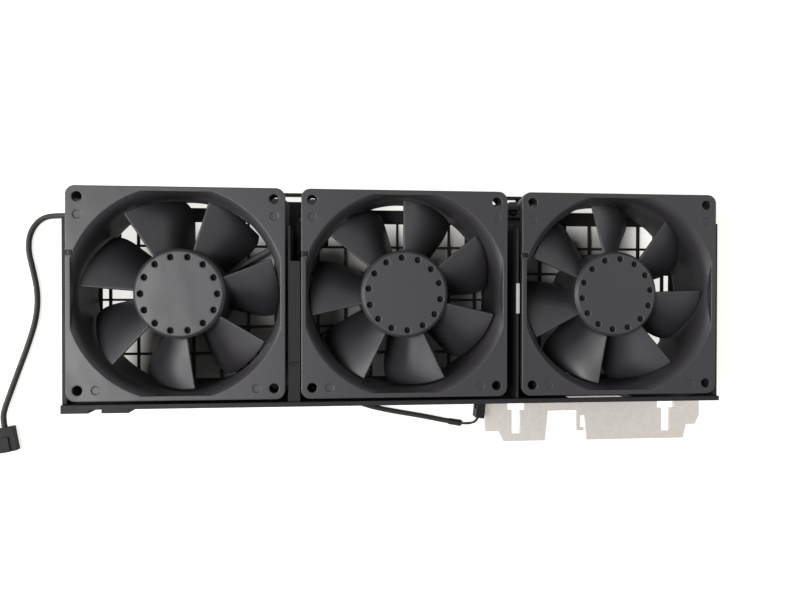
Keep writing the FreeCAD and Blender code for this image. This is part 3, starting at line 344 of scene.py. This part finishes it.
def moulded_plastic(name, rgb, edge_wear_highlight_rgb, roughness, grain, flow, edge, specular):
    """Injection-moulded plastic: a spark grain, cloudy flow marks, paler edges that are wear and a painted
    highlight, and painted shade in its pockets.
    """
    material, tree, shader, place = start_material(name, {"IOR": 1.5, "Specular IOR Level": specular})
    clouds = noise(tree, stretched(tree, place, FLOW_STRETCH), flow, detail=4.0)
    body = mixed(tree, clouds, opaque(rgb, FLOW_DARK), opaque(rgb, FLOW_LIGHT))
    # Paler edges by the bend of the rounded normal: wear together with a painted highlight along every edge
    round_edge = rounded(tree, edge)
    flat = add(tree, "ShaderNodeNewGeometry").outputs["Normal"]
    bend = add(
        tree, "ShaderNodeVectorMath", {0: round_edge, 1: flat}, operation="DOT_PRODUCT").outputs["Value"]
    wear_and_highlight = graded(tree, bend, WEAR_HIGHLIGHT_START, WEAR_HIGHLIGHT_END, 0.0, WEAR_HIGHLIGHT_SHARE)
    worn_and_highlit_colour = mixed(tree, wear_and_highlight, body, opaque(edge_wear_highlight_rgb))
    # Painted shade: local occlusion darkens and dulls the colour in pockets and creases
    pocket = add(
        tree, "ShaderNodeAmbientOcclusion", {"Distance": POCKET_SIZE}, samples=EDGE_SAMPLES,
        only_local=True).outputs["AO"]
    painted_shade = graded(tree, pocket, POCKET_SHUT, POCKET_OPEN, PAINTED_SHADE_SHARE, 0.0)
    painted_shade_colour = mixed(tree, painted_shade, worn_and_highlit_colour, opaque(rgb, PAINTED_SHADE_TONE))
    tree.links.new(painted_shade_colour, shader.inputs["Base Color"])
    sheen = graded(tree, clouds, 0.3, 0.7, roughness + FLOW_GLOSS, roughness - FLOW_GLOSS)
    dull = add(tree, "ShaderNodeMix", {0: painted_shade, 2: sheen, 3: PAINTED_SHADE_ROUGHNESS}, data_type="FLOAT").outputs[0]
    tree.links.new(dull, shader.inputs["Roughness"])
    pebbles = noise(tree, place, grain, detail=2.0)
    dent(tree, shader, pebbles, strength=0.22, depth=GRAIN_DEPTH * grain, Normal=round_edge)
    return material


def tray_abs(finish):
    """Black ABS of the tray: satin, with the tool's spark grain (0.3 mm, drawn at 0.8 mm to show)."""
    return moulded_plastic(
        "Black ABS moulded", finish.tray, finish.frames,
        roughness=0.58, grain=0.8, flow=14.0, edge=0.35, specular=0.2)


def frame_pbt(finish):
    """Glass-filled PBT of the frames: smoother than the tray, greyer where the glass nears the skin."""
    return moulded_plastic(
        "Glass-filled PBT frame", finish.frames, finish.edges,
        roughness=0.43, grain=0.7, flow=11.0, edge=0.7, specular=0.45)


def blade_pbt(finish):
    """Glass-filled PBT of the impellers: a soft sheen on the blades and cloudy flow from the hub."""
    return moulded_plastic(
        "Glass-filled PBT impeller", finish.blades, finish.edges,
        roughness=0.42, grain=0.7, flow=9.0, edge=0.9, specular=0.45)


def plug_nylon(finish):
    """Black nylon of the plugs: small, dull and sharp-edged."""
    return moulded_plastic(
        "Black nylon moulded", finish.plugs, finish.frames,
        roughness=0.6, grain=0.5, flow=5.0, edge=0.2, specular=0.2)


def zinc_sheet(finish):
    """Galvanised sheet: pale grey zinc with a faint spangle (1.6 mm) and rolling lines along X."""
    material, tree, shader, place = start_material("Galvanised sheet steel", {"Metallic": 0.85})
    warp = add(tree, "ShaderNodeTexNoise", {"Vector": place, "Scale": 1 / (2.0 * MM), "Detail": 2.0})
    spread = add(
        tree, "ShaderNodeMix", {0: SPANGLE_WARP, 4: place, 5: warp.outputs["Color"]},
        data_type="VECTOR").outputs[1]
    spangle = add(tree, "ShaderNodeTexVoronoi", {"Vector": spread, "Scale": 1 / SPANGLE_SIZE})
    flakes = add(tree, "ShaderNodeSeparateColor", {"Color": spangle.outputs["Color"]}).outputs["Red"]
    rolled = stretched(tree, place, ROLLING_SCALE)
    lines = add(tree, "ShaderNodeTexNoise", {"Vector": rolled, "Scale": 1.0, "Detail": 3.0}).outputs["Fac"]
    both = add(tree, "ShaderNodeMix", {0: ROLLING_SHARE, 2: flakes, 3: lines}, data_type="FLOAT").outputs[0]
    shade(tree, shader, both, finish.sheet, dark=0.93, light=1.05)
    polish(tree, shader, both, dull=0.56, bright=0.42)
    dent(tree, shader, lines, strength=0.15, depth=0.02, Normal=rounded(tree, 0.25))
    return material


def drawn_metal(name, rgb, roughness, scratch, metallic=1.0):
    """Machined or drawn metal: fine marks that follow each other along Z, slightly uneven."""
    material, tree, shader, place = start_material(name, {"Metallic": metallic})
    marks = noise(tree, stretched(tree, place, TURNING_STRETCH), scratch, detail=3.0)
    shade(tree, shader, marks, rgb, dark=0.85, light=1.1)
    polish(tree, shader, marks, dull=roughness + 0.08, bright=roughness - 0.08)
    dent(tree, shader, marks, strength=0.2, depth=0.01)
    return material


def layered(name, rgb, dark, spacing, roughness, metallic):
    """Stacked layers along Z, such as laminations or turns of wire, with a dark line between them."""
    material, tree, shader, place = start_material(name, {"Metallic": metallic, "Roughness": roughness})
    # A wave texture's bands repeat every 2 pi / 20 units at a scale of 1
    bands = add(
        tree, "ShaderNodeTexWave",
        {"Vector": place, "Scale": math.pi / 10 / (spacing * MM), "Distortion": 0.0},
        wave_type="BANDS", bands_direction="Z").outputs["Fac"]
    shade(tree, shader, bands, rgb, dark=dark, light=1.0)
    dent(tree, shader, bands, strength=0.4, depth=0.2 * spacing)
    return material


def matt_solid(name, rgb, roughness, speck):
    """Dull compound such as ferrite or solder mask: fine specks and a slightly uneven gloss."""
    material, tree, shader, place = start_material(name, {"IOR": 1.5})
    specks = noise(tree, place, speck, detail=3.0)
    shade(tree, shader, specks, rgb, dark=0.8, light=1.2)
    polish(tree, shader, specks, dull=roughness + 0.1, bright=roughness - 0.1)
    return material


def soft_sleeve(name, rgb, roughness, wrinkle):
    """Soft PVC: a dull sheen, slight unevenness along the lead and dust-pale patches."""
    material, tree, shader, place = start_material(name, {"IOR": 1.53, "Specular IOR Level": 0.25})
    waves = noise(tree, place, wrinkle, detail=3.0)
    shade(tree, shader, waves, rgb, dark=0.7, light=1.35)
    polish(tree, shader, waves, dull=roughness + 0.08, bright=roughness - 0.08)
    dent(tree, shader, waves, strength=0.3, depth=0.08)
    return material


def dress(material, *names):
    """Give CAD nodes their finish."""
    for name in names:
        slots = NODES[name].data.materials
        slots.clear()
        slots.append(material)


def mesh_piece(name, build):
    """New object whose mesh is filled by a function that takes the bmesh."""
    mesh = bpy.data.meshes.new(name)
    work = bmesh.new()
    build(work)
    bmesh.ops.remove_doubles(work, verts=work.verts, dist=1e-7)
    bmesh.ops.recalc_face_normals(work, faces=work.faces)
    work.to_mesh(mesh)
    work.free()
    piece = bpy.data.objects.new(name, mesh)
    bpy.context.scene.collection.objects.link(piece)
    return piece


def spin_profile(work, profile, axis, centre, steps):
    """Close a profile of (radius, height) pairs round an axis."""
    turn = Vector((0, 0, 1)).rotation_difference(Vector(axis)).to_matrix()
    places = [Vector(centre) + turn @ Vector((radius, 0, height)) for radius, height in profile]
    verts = [work.verts.new(place) for place in places]
    edges = [work.edges.new(pair) for pair in zip(verts, verts[1:])]
    bmesh.ops.spin(
        work, geom=verts + edges, cent=centre, axis=axis, angle=2 * math.pi, steps=steps, use_merge=True)


def settle(piece, materials):
    """Turn the evaluated object into a plain mesh and drop its modifiers."""
    graph = bpy.context.evaluated_depsgraph_get()
    mesh = bpy.data.meshes.new_from_object(piece.evaluated_get(graph))
    piece.modifiers.clear()
    piece.data = mesh
    mesh.materials.clear()
    for material in materials:
        mesh.materials.append(material)
    mesh.polygons.foreach_set("material_index", [0] * len(mesh.polygons))
    return piece


def node_group(name, sizes):
    """Geometry node tree with a mesh or curve input and named inputs for its sizes."""
    tree = bpy.data.node_groups.new(name, "GeometryNodeTree")
    tree.interface.new_socket("Geometry", in_out="INPUT", socket_type="NodeSocketGeometry")
    tree.interface.new_socket("Geometry", in_out="OUTPUT", socket_type="NodeSocketGeometry")
    for label, kind in sizes:
        tree.interface.new_socket(label, in_out="INPUT", socket_type=kind)
    return tree, add(tree, "NodeGroupInput").outputs


def end_group(tree, geometry, material):
    """Close a tree with Realize Instances and Set Material."""
    real = add(tree, "GeometryNodeRealizeInstances", {"Geometry": geometry}).outputs["Geometry"]
    done = add(tree, "GeometryNodeSetMaterial", {"Geometry": real, "Material": material}).outputs["Geometry"]
    add(tree, "NodeGroupOutput", {"Geometry": done})


def use_group(piece, tree, values):
    """Put a tree on an object and set its inputs by their identifiers."""
    modifier = piece.modifiers.new(tree.name, "NODES")
    modifier.node_group = tree
    for item in tree.interface.items_tree:
        if item.in_out == "INPUT" and item.name in values:
            modifier[item.identifier] = values[item.name]


def lead_curve(name, route, diameter):
    """Smooth curve through a lead's control points."""
    curve = bpy.data.curves.new(name, "CURVE")
    curve.dimensions = "3D"
    curve.resolution_u = CURVE_STEPS
    curve.bevel_depth = diameter / 2
    curve.bevel_resolution = CURVE_ROUNDNESS
    curve.use_fill_caps = True
    spline = curve.splines.new("NURBS")
    spline.points.add(len(route) - 1)
    for point, place in zip(spline.points, route):
        point.co = (*place, 1.0)
    spline.order_u = 3
    spline.use_endpoint_u = True
    piece = bpy.data.objects.new(name, curve)
    bpy.context.scene.collection.objects.link(piece)
    return piece


def seen_white(tree):
    """1 for the rays that show the white surroundings: to the camera, in gloss and through glass."""
    path = add(tree, "ShaderNodeLightPath").outputs
    seen = path["Is Camera Ray"]
    for ray in ("Is Glossy Ray", "Is Transmission Ray"):
        seen = add(tree, "ShaderNodeMath", {0: seen, 1: path[ray]}, operation="MAXIMUM").outputs[0]
    return seen


class FANROW_OT_stage(bpy.types.Operator):
    """Make the floor, the light and the camera"""

    bl_idname = "fanrow.stage"
    bl_label = "Stage"

    def execute(self, context):
        settings = context.scene.fan_stage
        self.make_floor(settings)
        self.make_light(context, settings)
        camera = bpy.data.objects.new("Camera", bpy.data.cameras.new("Camera"))
        context.scene.collection.objects.link(camera)
        camera.data.sensor_width = SENSOR_WIDTH
        camera.data.lens = settings.lens
        camera.data.clip_start = NEAREST_SEEN
        camera.location = settings.eye
        camera.rotation_euler = settings.aim
        context.scene.camera = camera
        context.scene.view_settings.view_transform = "Standard"
        return {"FINISHED"}

    def make_floor(self, settings):
        """White table top that shows its own white to the camera and keeps the shadows; under the tray its
        glow dims towards the middle, a painted shadow.
        """
        half = settings.floor_size / 2
        corners = [(-half, -half), (half, -half), (half, half), (-half, half)]
        floor = mesh_piece(
            "floor",
            lambda work: work.faces.new([work.verts.new((x, y, -settings.floor_gap)) for x, y in corners]))
        material, tree, shader, place = start_material("White laminate floor", {"Roughness": 0.6})
        clouds = noise(tree, place, FLOOR_CLOUD, detail=1.0)
        shade(tree, shader, clouds, settings.floor, dark=0.985, light=1.0)
        level = self.glow_with_painted_shadow(tree, place, settings)
        tree.links.new(level, shader.inputs["Emission Strength"])
        shader.inputs["Emission Color"].default_value = GLOW_COLOUR
        floor.data.materials.append(material)

    def glow_with_painted_shadow(self, tree, place, settings):
        """White of the floor: whole in the open, fading from the tray's edges to the middle under it: a
        painted shadow under the tray, with painted light reaching in from the left end, the right end and the
        top edge.
        """
        low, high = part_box("fan_tray")
        across, up = add(tree, "ShaderNodeSeparateXYZ", {"Vector": place}).outputs[:2]
        left_way = add(
            tree, "ShaderNodeMath", {0: up, 1: -settings.painted_light_end_slant, 2: across},
            operation="MULTIPLY_ADD").outputs[0]
        top_way = add(
            tree, "ShaderNodeMath", {0: across, 1: -settings.painted_light_top_slant, 2: up},
            operation="MULTIPLY_ADD").outputs[0]
        seen = seen_white(tree)
        light_path = add(tree, "ShaderNodeLightPath").outputs
        mirrored = add(
            tree, "ShaderNodeMath", {0: light_path["Is Glossy Ray"], 1: settings.gloss_share},
            operation="MULTIPLY").outputs[0]
        below = add(
            tree, "ShaderNodeMath", {0: light_path["Is Camera Ray"], 1: mirrored},
            operation="MAXIMUM").outputs[0]
        level = 0.0
        fades = (
            (across, low.x, low.x - settings.floor_gap, seen),
            (across, high.x, high.x + settings.floor_gap, seen),
            (up, high.y, high.y + settings.floor_gap, seen),
            (up, low.y, low.y - settings.floor_gap, seen),
            (left_way, low.x + settings.painted_light_end_reach, low.x + settings.painted_light_end_whole, below),
            (across, high.x - settings.painted_light_end_reach, high.x - settings.painted_light_end_whole, below),
            (top_way, high.y - settings.painted_light_top_reach, high.y - settings.painted_light_top_whole, below),
        )
        for way, dark, bright, ray in fades:
            fade = add(
                tree, "ShaderNodeMapRange",
                {"Value": way, "From Min": dark, "From Max": bright},
                interpolation_type="SMOOTHSTEP").outputs["Result"]
            shown = add(tree, "ShaderNodeMath", {0: fade, 1: ray}, operation="MULTIPLY").outputs[0]
            level = add(tree, "ShaderNodeMath", {0: level, 1: shown}, operation="MAXIMUM").outputs[0]
        return add(tree, "ShaderNodeMath", {0: level, 1: settings.glow}, operation="MULTIPLY").outputs[0]

    def make_lamp(self, context, name, place, width, height, power):
        """Flat lamp that faces the object."""
        lamp = bpy.data.lights.new(name, "AREA")
        lamp.shape = "RECTANGLE"
        lamp.size = width
        lamp.size_y = height
        lamp.energy = power
        holder = bpy.data.objects.new(name, lamp)
        context.scene.collection.objects.link(holder)
        holder.visible_camera = False
        holder.location = place
        holder.rotation_euler = (-Vector(place)).to_track_quat("-Z", "Y").to_euler()

    def make_light(self, context, settings):
        """Softbox above the left end, a low window at the left, a weak fill and light from all round."""
        self.make_lamp(
            context, "Softbox", settings.key_place, settings.key_size, settings.key_size, settings.key_power)
        self.make_lamp(
            context, "Window", settings.window_place, settings.window_width, settings.window_height,
            settings.window_power)
        self.make_lamp(
            context, "Fill", settings.fill_place, settings.fill_size, settings.fill_size, settings.fill_power)
        world = bpy.data.worlds.new("Room")
        world.use_nodes = True
        tree = world.node_tree
        tree.nodes.clear()
        room = add(tree, "ShaderNodeBackground", {"Color": (1.0, 1.0, 1.0, 1.0), "Strength": settings.sky})
        white = add(tree, "ShaderNodeBackground", {"Color": (1.0, 1.0, 1.0, 1.0), "Strength": 1.0})
        both = add(
            tree, "ShaderNodeMixShader", {0: seen_white(tree), 1: room.outputs[0], 2: white.outputs[0]})
        add(tree, "ShaderNodeOutputWorld", {"Surface": both.outputs[0]})
        context.scene.world = world


class FANROW_OT_tray(bpy.types.Operator):
    """Finish the tray and its guards"""

    bl_idname = "fanrow.tray"
    bl_label = "Tray and guards"

    def execute(self, context):
        guards = [f"{side}_rear_guard" for side in SIDES]
        dress(tray_abs(context.scene.fan_finishes), "fan_tray", *guards)
        return {"FINISHED"}


class FANROW_OT_frames(bpy.types.Operator):
    """Finish the fan frames"""

    bl_idname = "fanrow.frames"
    bl_label = "Fan frames"

    def execute(self, context):
        dress(frame_pbt(context.scene.fan_finishes), *[f"{side}_fan_frame" for side in SIDES])
        return {"FINISHED"}


class FANROW_OT_impellers(bpy.types.Operator):
    """Finish the impellers"""

    bl_idname = "fanrow.impellers"
    bl_label = "Impellers"

    def execute(self, context):
        dress(blade_pbt(context.scene.fan_finishes), *[f"{side}_fan_impeller" for side in SIDES])
        return {"FINISHED"}


class FANROW_OT_motors(bpy.types.Operator):
    """Finish the parts inside the motors"""

    bl_idname = "fanrow.motors"
    bl_label = "Motors"

    def execute(self, context):
        finish = context.scene.fan_finishes
        # Ground and hardened: bright with fine grinding marks
        ground = drawn_metal("Ground bearing steel", finish.steel, roughness=0.25, scratch=0.4)
        # Rolled and blued spring strip: bright grey, faint drawing lines
        spring = drawn_metal("Rolled spring steel", finish.steel, roughness=0.32, scratch=0.5)
        # Zinc phosphate on deep-drawn steel: dark grey and dull
        yoke = drawn_metal("Phosphated drawn steel", finish.yoke, roughness=0.55, scratch=0.8, metallic=0.8)
        # Turned from bar: yellow, with fine turning marks
        brass = drawn_metal("Turned brass", finish.brass, roughness=0.3, scratch=0.4)
        # Stamped 0.5 mm sheets, drawn at 1 mm so that they show
        core = layered(
            "Laminated electrical steel", finish.core, dark=0.45, spacing=1.0, roughness=0.45, metallic=0.9)
        # Enamelled wire of 0.3 mm, drawn at 0.6 mm so that its turns show
        copper = layered(
            "Enamelled copper winding", finish.copper, dark=0.4, spacing=0.6, roughness=0.3, metallic=0.9)
        # Green lacquer on a woven board: slightly glossy, faintly cloudy
        board = matt_solid("Solder mask on glass laminate", finish.board, roughness=0.35, speck=1.2)
        # Pressed powder in a binder: nearly black and dull
        magnet = matt_solid("Bonded ferrite", finish.magnet, roughness=0.6, speck=0.5)
        for side in SIDES:
            dress(ground, f"{side}_rotor_shaft", f"{side}_bearing_inner_rings", f"{side}_bearing_outer_rings")
            dress(spring, f"{side}_preload_spring", f"{side}_shaft_clip")
            dress(yoke, f"{side}_rotor_yoke")
            dress(brass, f"{side}_bearing_sleeve")
            dress(core, f"{side}_stator_core")
            dress(copper, f"{side}_stator_coils")
            dress(board, f"{side}_circuit_board")
            dress(magnet, f"{side}_rotor_magnet")
        dress(spring, "partition_clip")
        return {"FINISHED"}


class FANROW_OT_bracket(bpy.types.Operator):
    """Finish the keyhole bracket"""

    bl_idname = "fanrow.bracket"
    bl_label = "Keyhole bracket"

    def execute(self, context):
        dress(zinc_sheet(context.scene.fan_finishes), "keyhole_bracket")
        return {"FINISHED"}


class FANROW_OT_screws(bpy.types.Operator):
    """Make the bracket's two pan-head screws"""

    bl_idname = "fanrow.screws"
    bl_label = "Bracket screws"

    def execute(self, context):
        sizes = context.scene.fan_leads
        # Zinc-plated and clear-passivated: pale steel with a satin gloss
        plated = drawn_metal(
            "Zinc-plated screw steel", context.scene.fan_finishes.steel, roughness=0.3, scratch=0.5)
        low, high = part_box("bracket_screws")
        radius = sizes.screw_head / 2
        seat = low.y + sizes.screw_head_height
        height = (low.z + high.z) / 2
        pattern = mesh_piece("screw_pattern", lambda work: self.build_screw(work, sizes))
        recess = mesh_piece("screw_recess", lambda work: self.build_recess(work, sizes))
        cut = pattern.modifiers.new("Recess", "BOOLEAN")
        cut.solver = "MANIFOLD"
        cut.object = recess
        settle(pattern, [plated])
        places = [(low.x + radius, seat, height), (high.x - radius, seat, height)]
        screws = mesh_piece("screws", lambda work: [work.verts.new(place) for place in places])
        tree, inputs = node_group("Screws on points", [("Screw", "NodeSocketObject")])
        source = add(tree, "GeometryNodeObjectInfo", {"Object": inputs["Screw"]}).outputs["Geometry"]
        copies = add(
            tree, "GeometryNodeInstanceOnPoints", {"Points": inputs["Geometry"], "Instance": source})
        end_group(tree, copies.outputs["Instances"], plated)
        use_group(screws, tree, {"Screw": pattern})
        settle(screws, [plated])
        for helper in (pattern, recess):
            bpy.data.objects.remove(helper)
        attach(screws, "tray")
        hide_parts("bracket_screws")
        return {"FINISHED"}

    def build_screw(self, work, sizes):
        """Screw along +Y with its seat at the origin: domed head, shank with thread ridges."""
        head = sizes.screw_head / 2
        tall = sizes.screw_head_height
        crest = sizes.screw_shank / 2
        root = THREAD_ROOT * crest
        pitch = sizes.thread_pitch
        profile = [(out * head, -high * tall) for out, high in HEAD_OUTLINE]
        profile.append((root, 0.0))
        ridges = int(sizes.screw_length / pitch) - 1
        for k in range(ridges):
            start = (k + RIDGE_START) * pitch
            profile += [(root, start), (crest, start + RIDGE_PEAK * pitch), (root, start + RIDGE_END * pitch)]
        profile += [(TIP_WIDTH * root, sizes.screw_length - TIP_SLOPE * crest), (0.0, sizes.screw_length)]
        spin_profile(work, profile, (0, 1, 0), (0, 0, 0), SCREW_STEPS)

    def build_recess(self, work, sizes):
        """Cross recess that narrows into the head."""
        wide = RECESS_REACH * sizes.screw_head / 2
        narrow = RECESS_WIDTH * sizes.screw_head / 2
        outer = -RECESS_TOP * sizes.screw_head_height
        inner = -RECESS_FLOOR * sizes.screw_head_height
        for turn in (0.0, math.pi / 2):
            turned = Matrix.Rotation(turn, 3, "Y")
            ends = []
            for y, reach in ((outer, wide), (inner, RECESS_TAPER * wide)):
                corners = ((-reach, -narrow), (reach, -narrow), (reach, narrow), (-reach, narrow))
                ends.append([work.verts.new(turned @ Vector((x, y, z))) for x, z in corners])
            work.faces.new(ends[0])
            work.faces.new(ends[1][::-1])
            for k in range(4):
                work.faces.new([ends[0][k], ends[1][k], ends[1][k - 3], ends[0][k - 3]])


class FANROW_OT_left_lead(bpy.types.Operator):
    """Make the left fan's lead"""

    bl_idname = "fanrow.left_lead"
    bl_label = "Left lead"

    def execute(self, context):
        finish = context.scene.fan_finishes
        diameter = context.scene.fan_leads.lead
        lead = lead_curve("left_lead_cord", LEFT_ROUTE, diameter)
        lead.data.materials.append(soft_sleeve("Black PVC sleeve", finish.jacket, roughness=0.6, wrinkle=4.0))
        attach(lead, "tray")
        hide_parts("left_lead")
        return {"FINISHED"}


class FANROW_OT_middle_lead(bpy.types.Operator):
    """Make the middle fan's lead with its shrink tube and bare wires"""

    bl_idname = "fanrow.middle_lead"
    bl_label = "Middle lead"

    def execute(self, context):
        finish = context.scene.fan_finishes
        sizes = context.scene.fan_leads
        lead = lead_curve("middle_lead_cord", MIDDLE_ROUTE, sizes.lead)
        sleeve = bpy.data.materials["Black PVC sleeve"]
        lead.data.materials.append(sleeve)
        shrink = mesh_piece("middle_lead_shrink", lambda work: self.build_shrink(work, sizes))
        shrink.data.materials.append(soft_sleeve("Shrink tube", finish.shrink, roughness=0.35, wrinkle=2.0))
        insulation = soft_sleeve("PVC wire insulation", finish.wires, roughness=0.4, wrinkle=3.0)
        wires = self.make_wires(sizes, insulation)
        for piece, slot in ((lead, "lead_jacket"), (shrink, "lead_jacket"), (wires, "wire_insulation")):
            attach(piece, "tray")
        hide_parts("middle_lead")
        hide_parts("middle_lead_wires")
        dress(sleeve, "left_lead_held", "middle_lead_held")
        return {"FINISHED"}

    def build_shrink(self, work, sizes):
        """Flattened tube over the sleeve's end, with a rounded lip at each end."""
        end = Vector(MIDDLE_ROUTE[-1])
        along = (end - Vector(MIDDLE_ROUTE[-2])).normalized()
        across = Vector((-along.y, along.x, 0.0))
        wide = sizes.shrink_width / 2
        high = sizes.lead / 2
        back = sizes.shrink_length - SHRINK_PAST
        loops = []
        for part, swell in SHRINK_SWELL:
            centre = end + along * (part * SHRINK_PAST - (1.0 - part) * back)
            loop = []
            for k in range(SHRINK_SIDES):
                angle = 2 * math.pi * k / SHRINK_SIDES
                rise = Vector((0.0, 0.0, math.sin(angle) * high * swell))
                loop.append(work.verts.new(centre + across * math.cos(angle) * wide * swell + rise))
            loops.append(loop)
        for one, other in zip(loops, loops[1:]):
            for k in range(SHRINK_SIDES):
                work.faces.new([one[k - 1], one[k], other[k], other[k - 1]])
        work.faces.new(loops[0])
        work.faces.new(loops[-1])
        for face in work.faces:
            face.smooth = len(face.verts) == 4

    def make_wires(self, sizes, insulation):
        """Four twisted wires from the sleeve's end into the plug."""
        wires = lead_curve("middle_lead_wire_bundle", WIRE_ROUTE, 0.0)
        values = {"Wire radius": sizes.wire / 2, "Bundle radius": sizes.bundle, "Twist": WIRE_TWIST}
        tree, inputs = node_group("Twisted wires", [(label, "NodeSocketFloat") for label in values])
        share = add(tree, "GeometryNodeSplineParameter").outputs["Factor"]
        twist = add(tree, "ShaderNodeMath", {0: share, 1: inputs["Twist"]}, operation="MULTIPLY").outputs[0]
        path = add(
            tree, "GeometryNodeSetCurveTilt", {"Curve": inputs["Geometry"], "Tilt": twist}).outputs["Curve"]
        ring = add(
            tree, "GeometryNodeCurvePrimitiveCircle",
            {"Resolution": WIRE_COUNT, "Radius": inputs["Bundle radius"]})
        round_wire = add(
            tree, "GeometryNodeCurvePrimitiveCircle",
            {"Resolution": WIRE_SIDES, "Radius": inputs["Wire radius"]})
        copies = add(
            tree, "GeometryNodeInstanceOnPoints",
            {"Points": ring.outputs["Curve"], "Instance": round_wire.outputs["Curve"]}).outputs["Instances"]
        section = add(tree, "GeometryNodeRealizeInstances", {"Geometry": copies}).outputs["Geometry"]
        tubes = add(
            tree, "GeometryNodeCurveToMesh",
            {"Curve": path, "Profile Curve": section, "Fill Caps": True}).outputs["Mesh"]
        end_group(tree, tubes, insulation)
        use_group(wires, tree, values)
        graph = bpy.context.evaluated_depsgraph_get()
        mesh = bpy.data.meshes.new_from_object(wires.evaluated_get(graph))
        bpy.data.objects.remove(wires)
        mesh.materials.clear()
        mesh.materials.append(insulation)
        piece = bpy.data.objects.new("middle_lead_bare_wires", mesh)
        bpy.context.scene.collection.objects.link(piece)
        return piece


class FANROW_OT_plugs(bpy.types.Operator):
    """Finish the plugs and their terminals"""

    bl_idname = "fanrow.plugs"
    bl_label = "Plugs"

    def execute(self, context):
        finish = context.scene.fan_finishes
        dress(plug_nylon(finish), "left_plug", "middle_plug")
        # Stamped brass with tin plate: pale and slightly dull
        tin = drawn_metal("Tin-plated brass", finish.tin, roughness=0.35, scratch=0.4)
        dress(tin, "left_plug_terminals", "middle_plug_terminals")
        return {"FINISHED"}


OPERATORS = (
    FANROW_OT_stage,
    FANROW_OT_tray,
    FANROW_OT_frames,
    FANROW_OT_impellers,
    FANROW_OT_motors,
    FANROW_OT_bracket,
    FANROW_OT_screws,
    FANROW_OT_left_lead,
    FANROW_OT_middle_lead,
    FANROW_OT_plugs,
)


class FANROW_PT_panel(bpy.types.Panel):
    """Buttons for the pieces of the fan assembly"""

    bl_idname = "FANROW_PT_panel"
    bl_label = "Fan assembly"
    bl_space_type = "VIEW_3D"
    bl_region_type = "UI"
    bl_category = "Fan assembly"

    def draw(self, context):
        column = self.layout.column()
        for operator in OPERATORS:
            column.operator(operator.bl_idname)
        for group in (context.scene.fan_finishes, context.scene.fan_leads, context.scene.fan_stage):
            for key in group.bl_rna.properties.keys():
                if key not in ("rna_type", "name"):
                    column.prop(group, key)


GROUPS = {"fan_finishes": FanFinishes, "fan_leads": FanLeads, "fan_stage": FanStage}


def register():
    """Register the classes and put the settings on the scene."""
    for key, group in GROUPS.items():
        bpy.utils.register_class(group)
        setattr(bpy.types.Scene, key, bpy.props.PointerProperty(type=group))
    for item in (*OPERATORS, FANROW_PT_panel):
        bpy.utils.register_class(item)


def unregister():
    """Take the classes and settings off again."""
    for item in (FANROW_PT_panel, *reversed(OPERATORS)):
        bpy.utils.unregister_class(item)
    for key, group in GROUPS.items():
        delattr(bpy.types.Scene, key)
        bpy.utils.unregister_class(group)


def main():
    """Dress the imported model."""
    register()
    bpy.ops.fanrow.stage()
    bpy.ops.fanrow.tray()
    bpy.ops.fanrow.frames()
    bpy.ops.fanrow.impellers()
    bpy.ops.fanrow.motors()
    bpy.ops.fanrow.bracket()
    bpy.ops.fanrow.screws()
    bpy.ops.fanrow.left_lead()
    bpy.ops.fanrow.middle_lead()
    bpy.ops.fanrow.plugs()


if __name__ == "__main__":
    main()
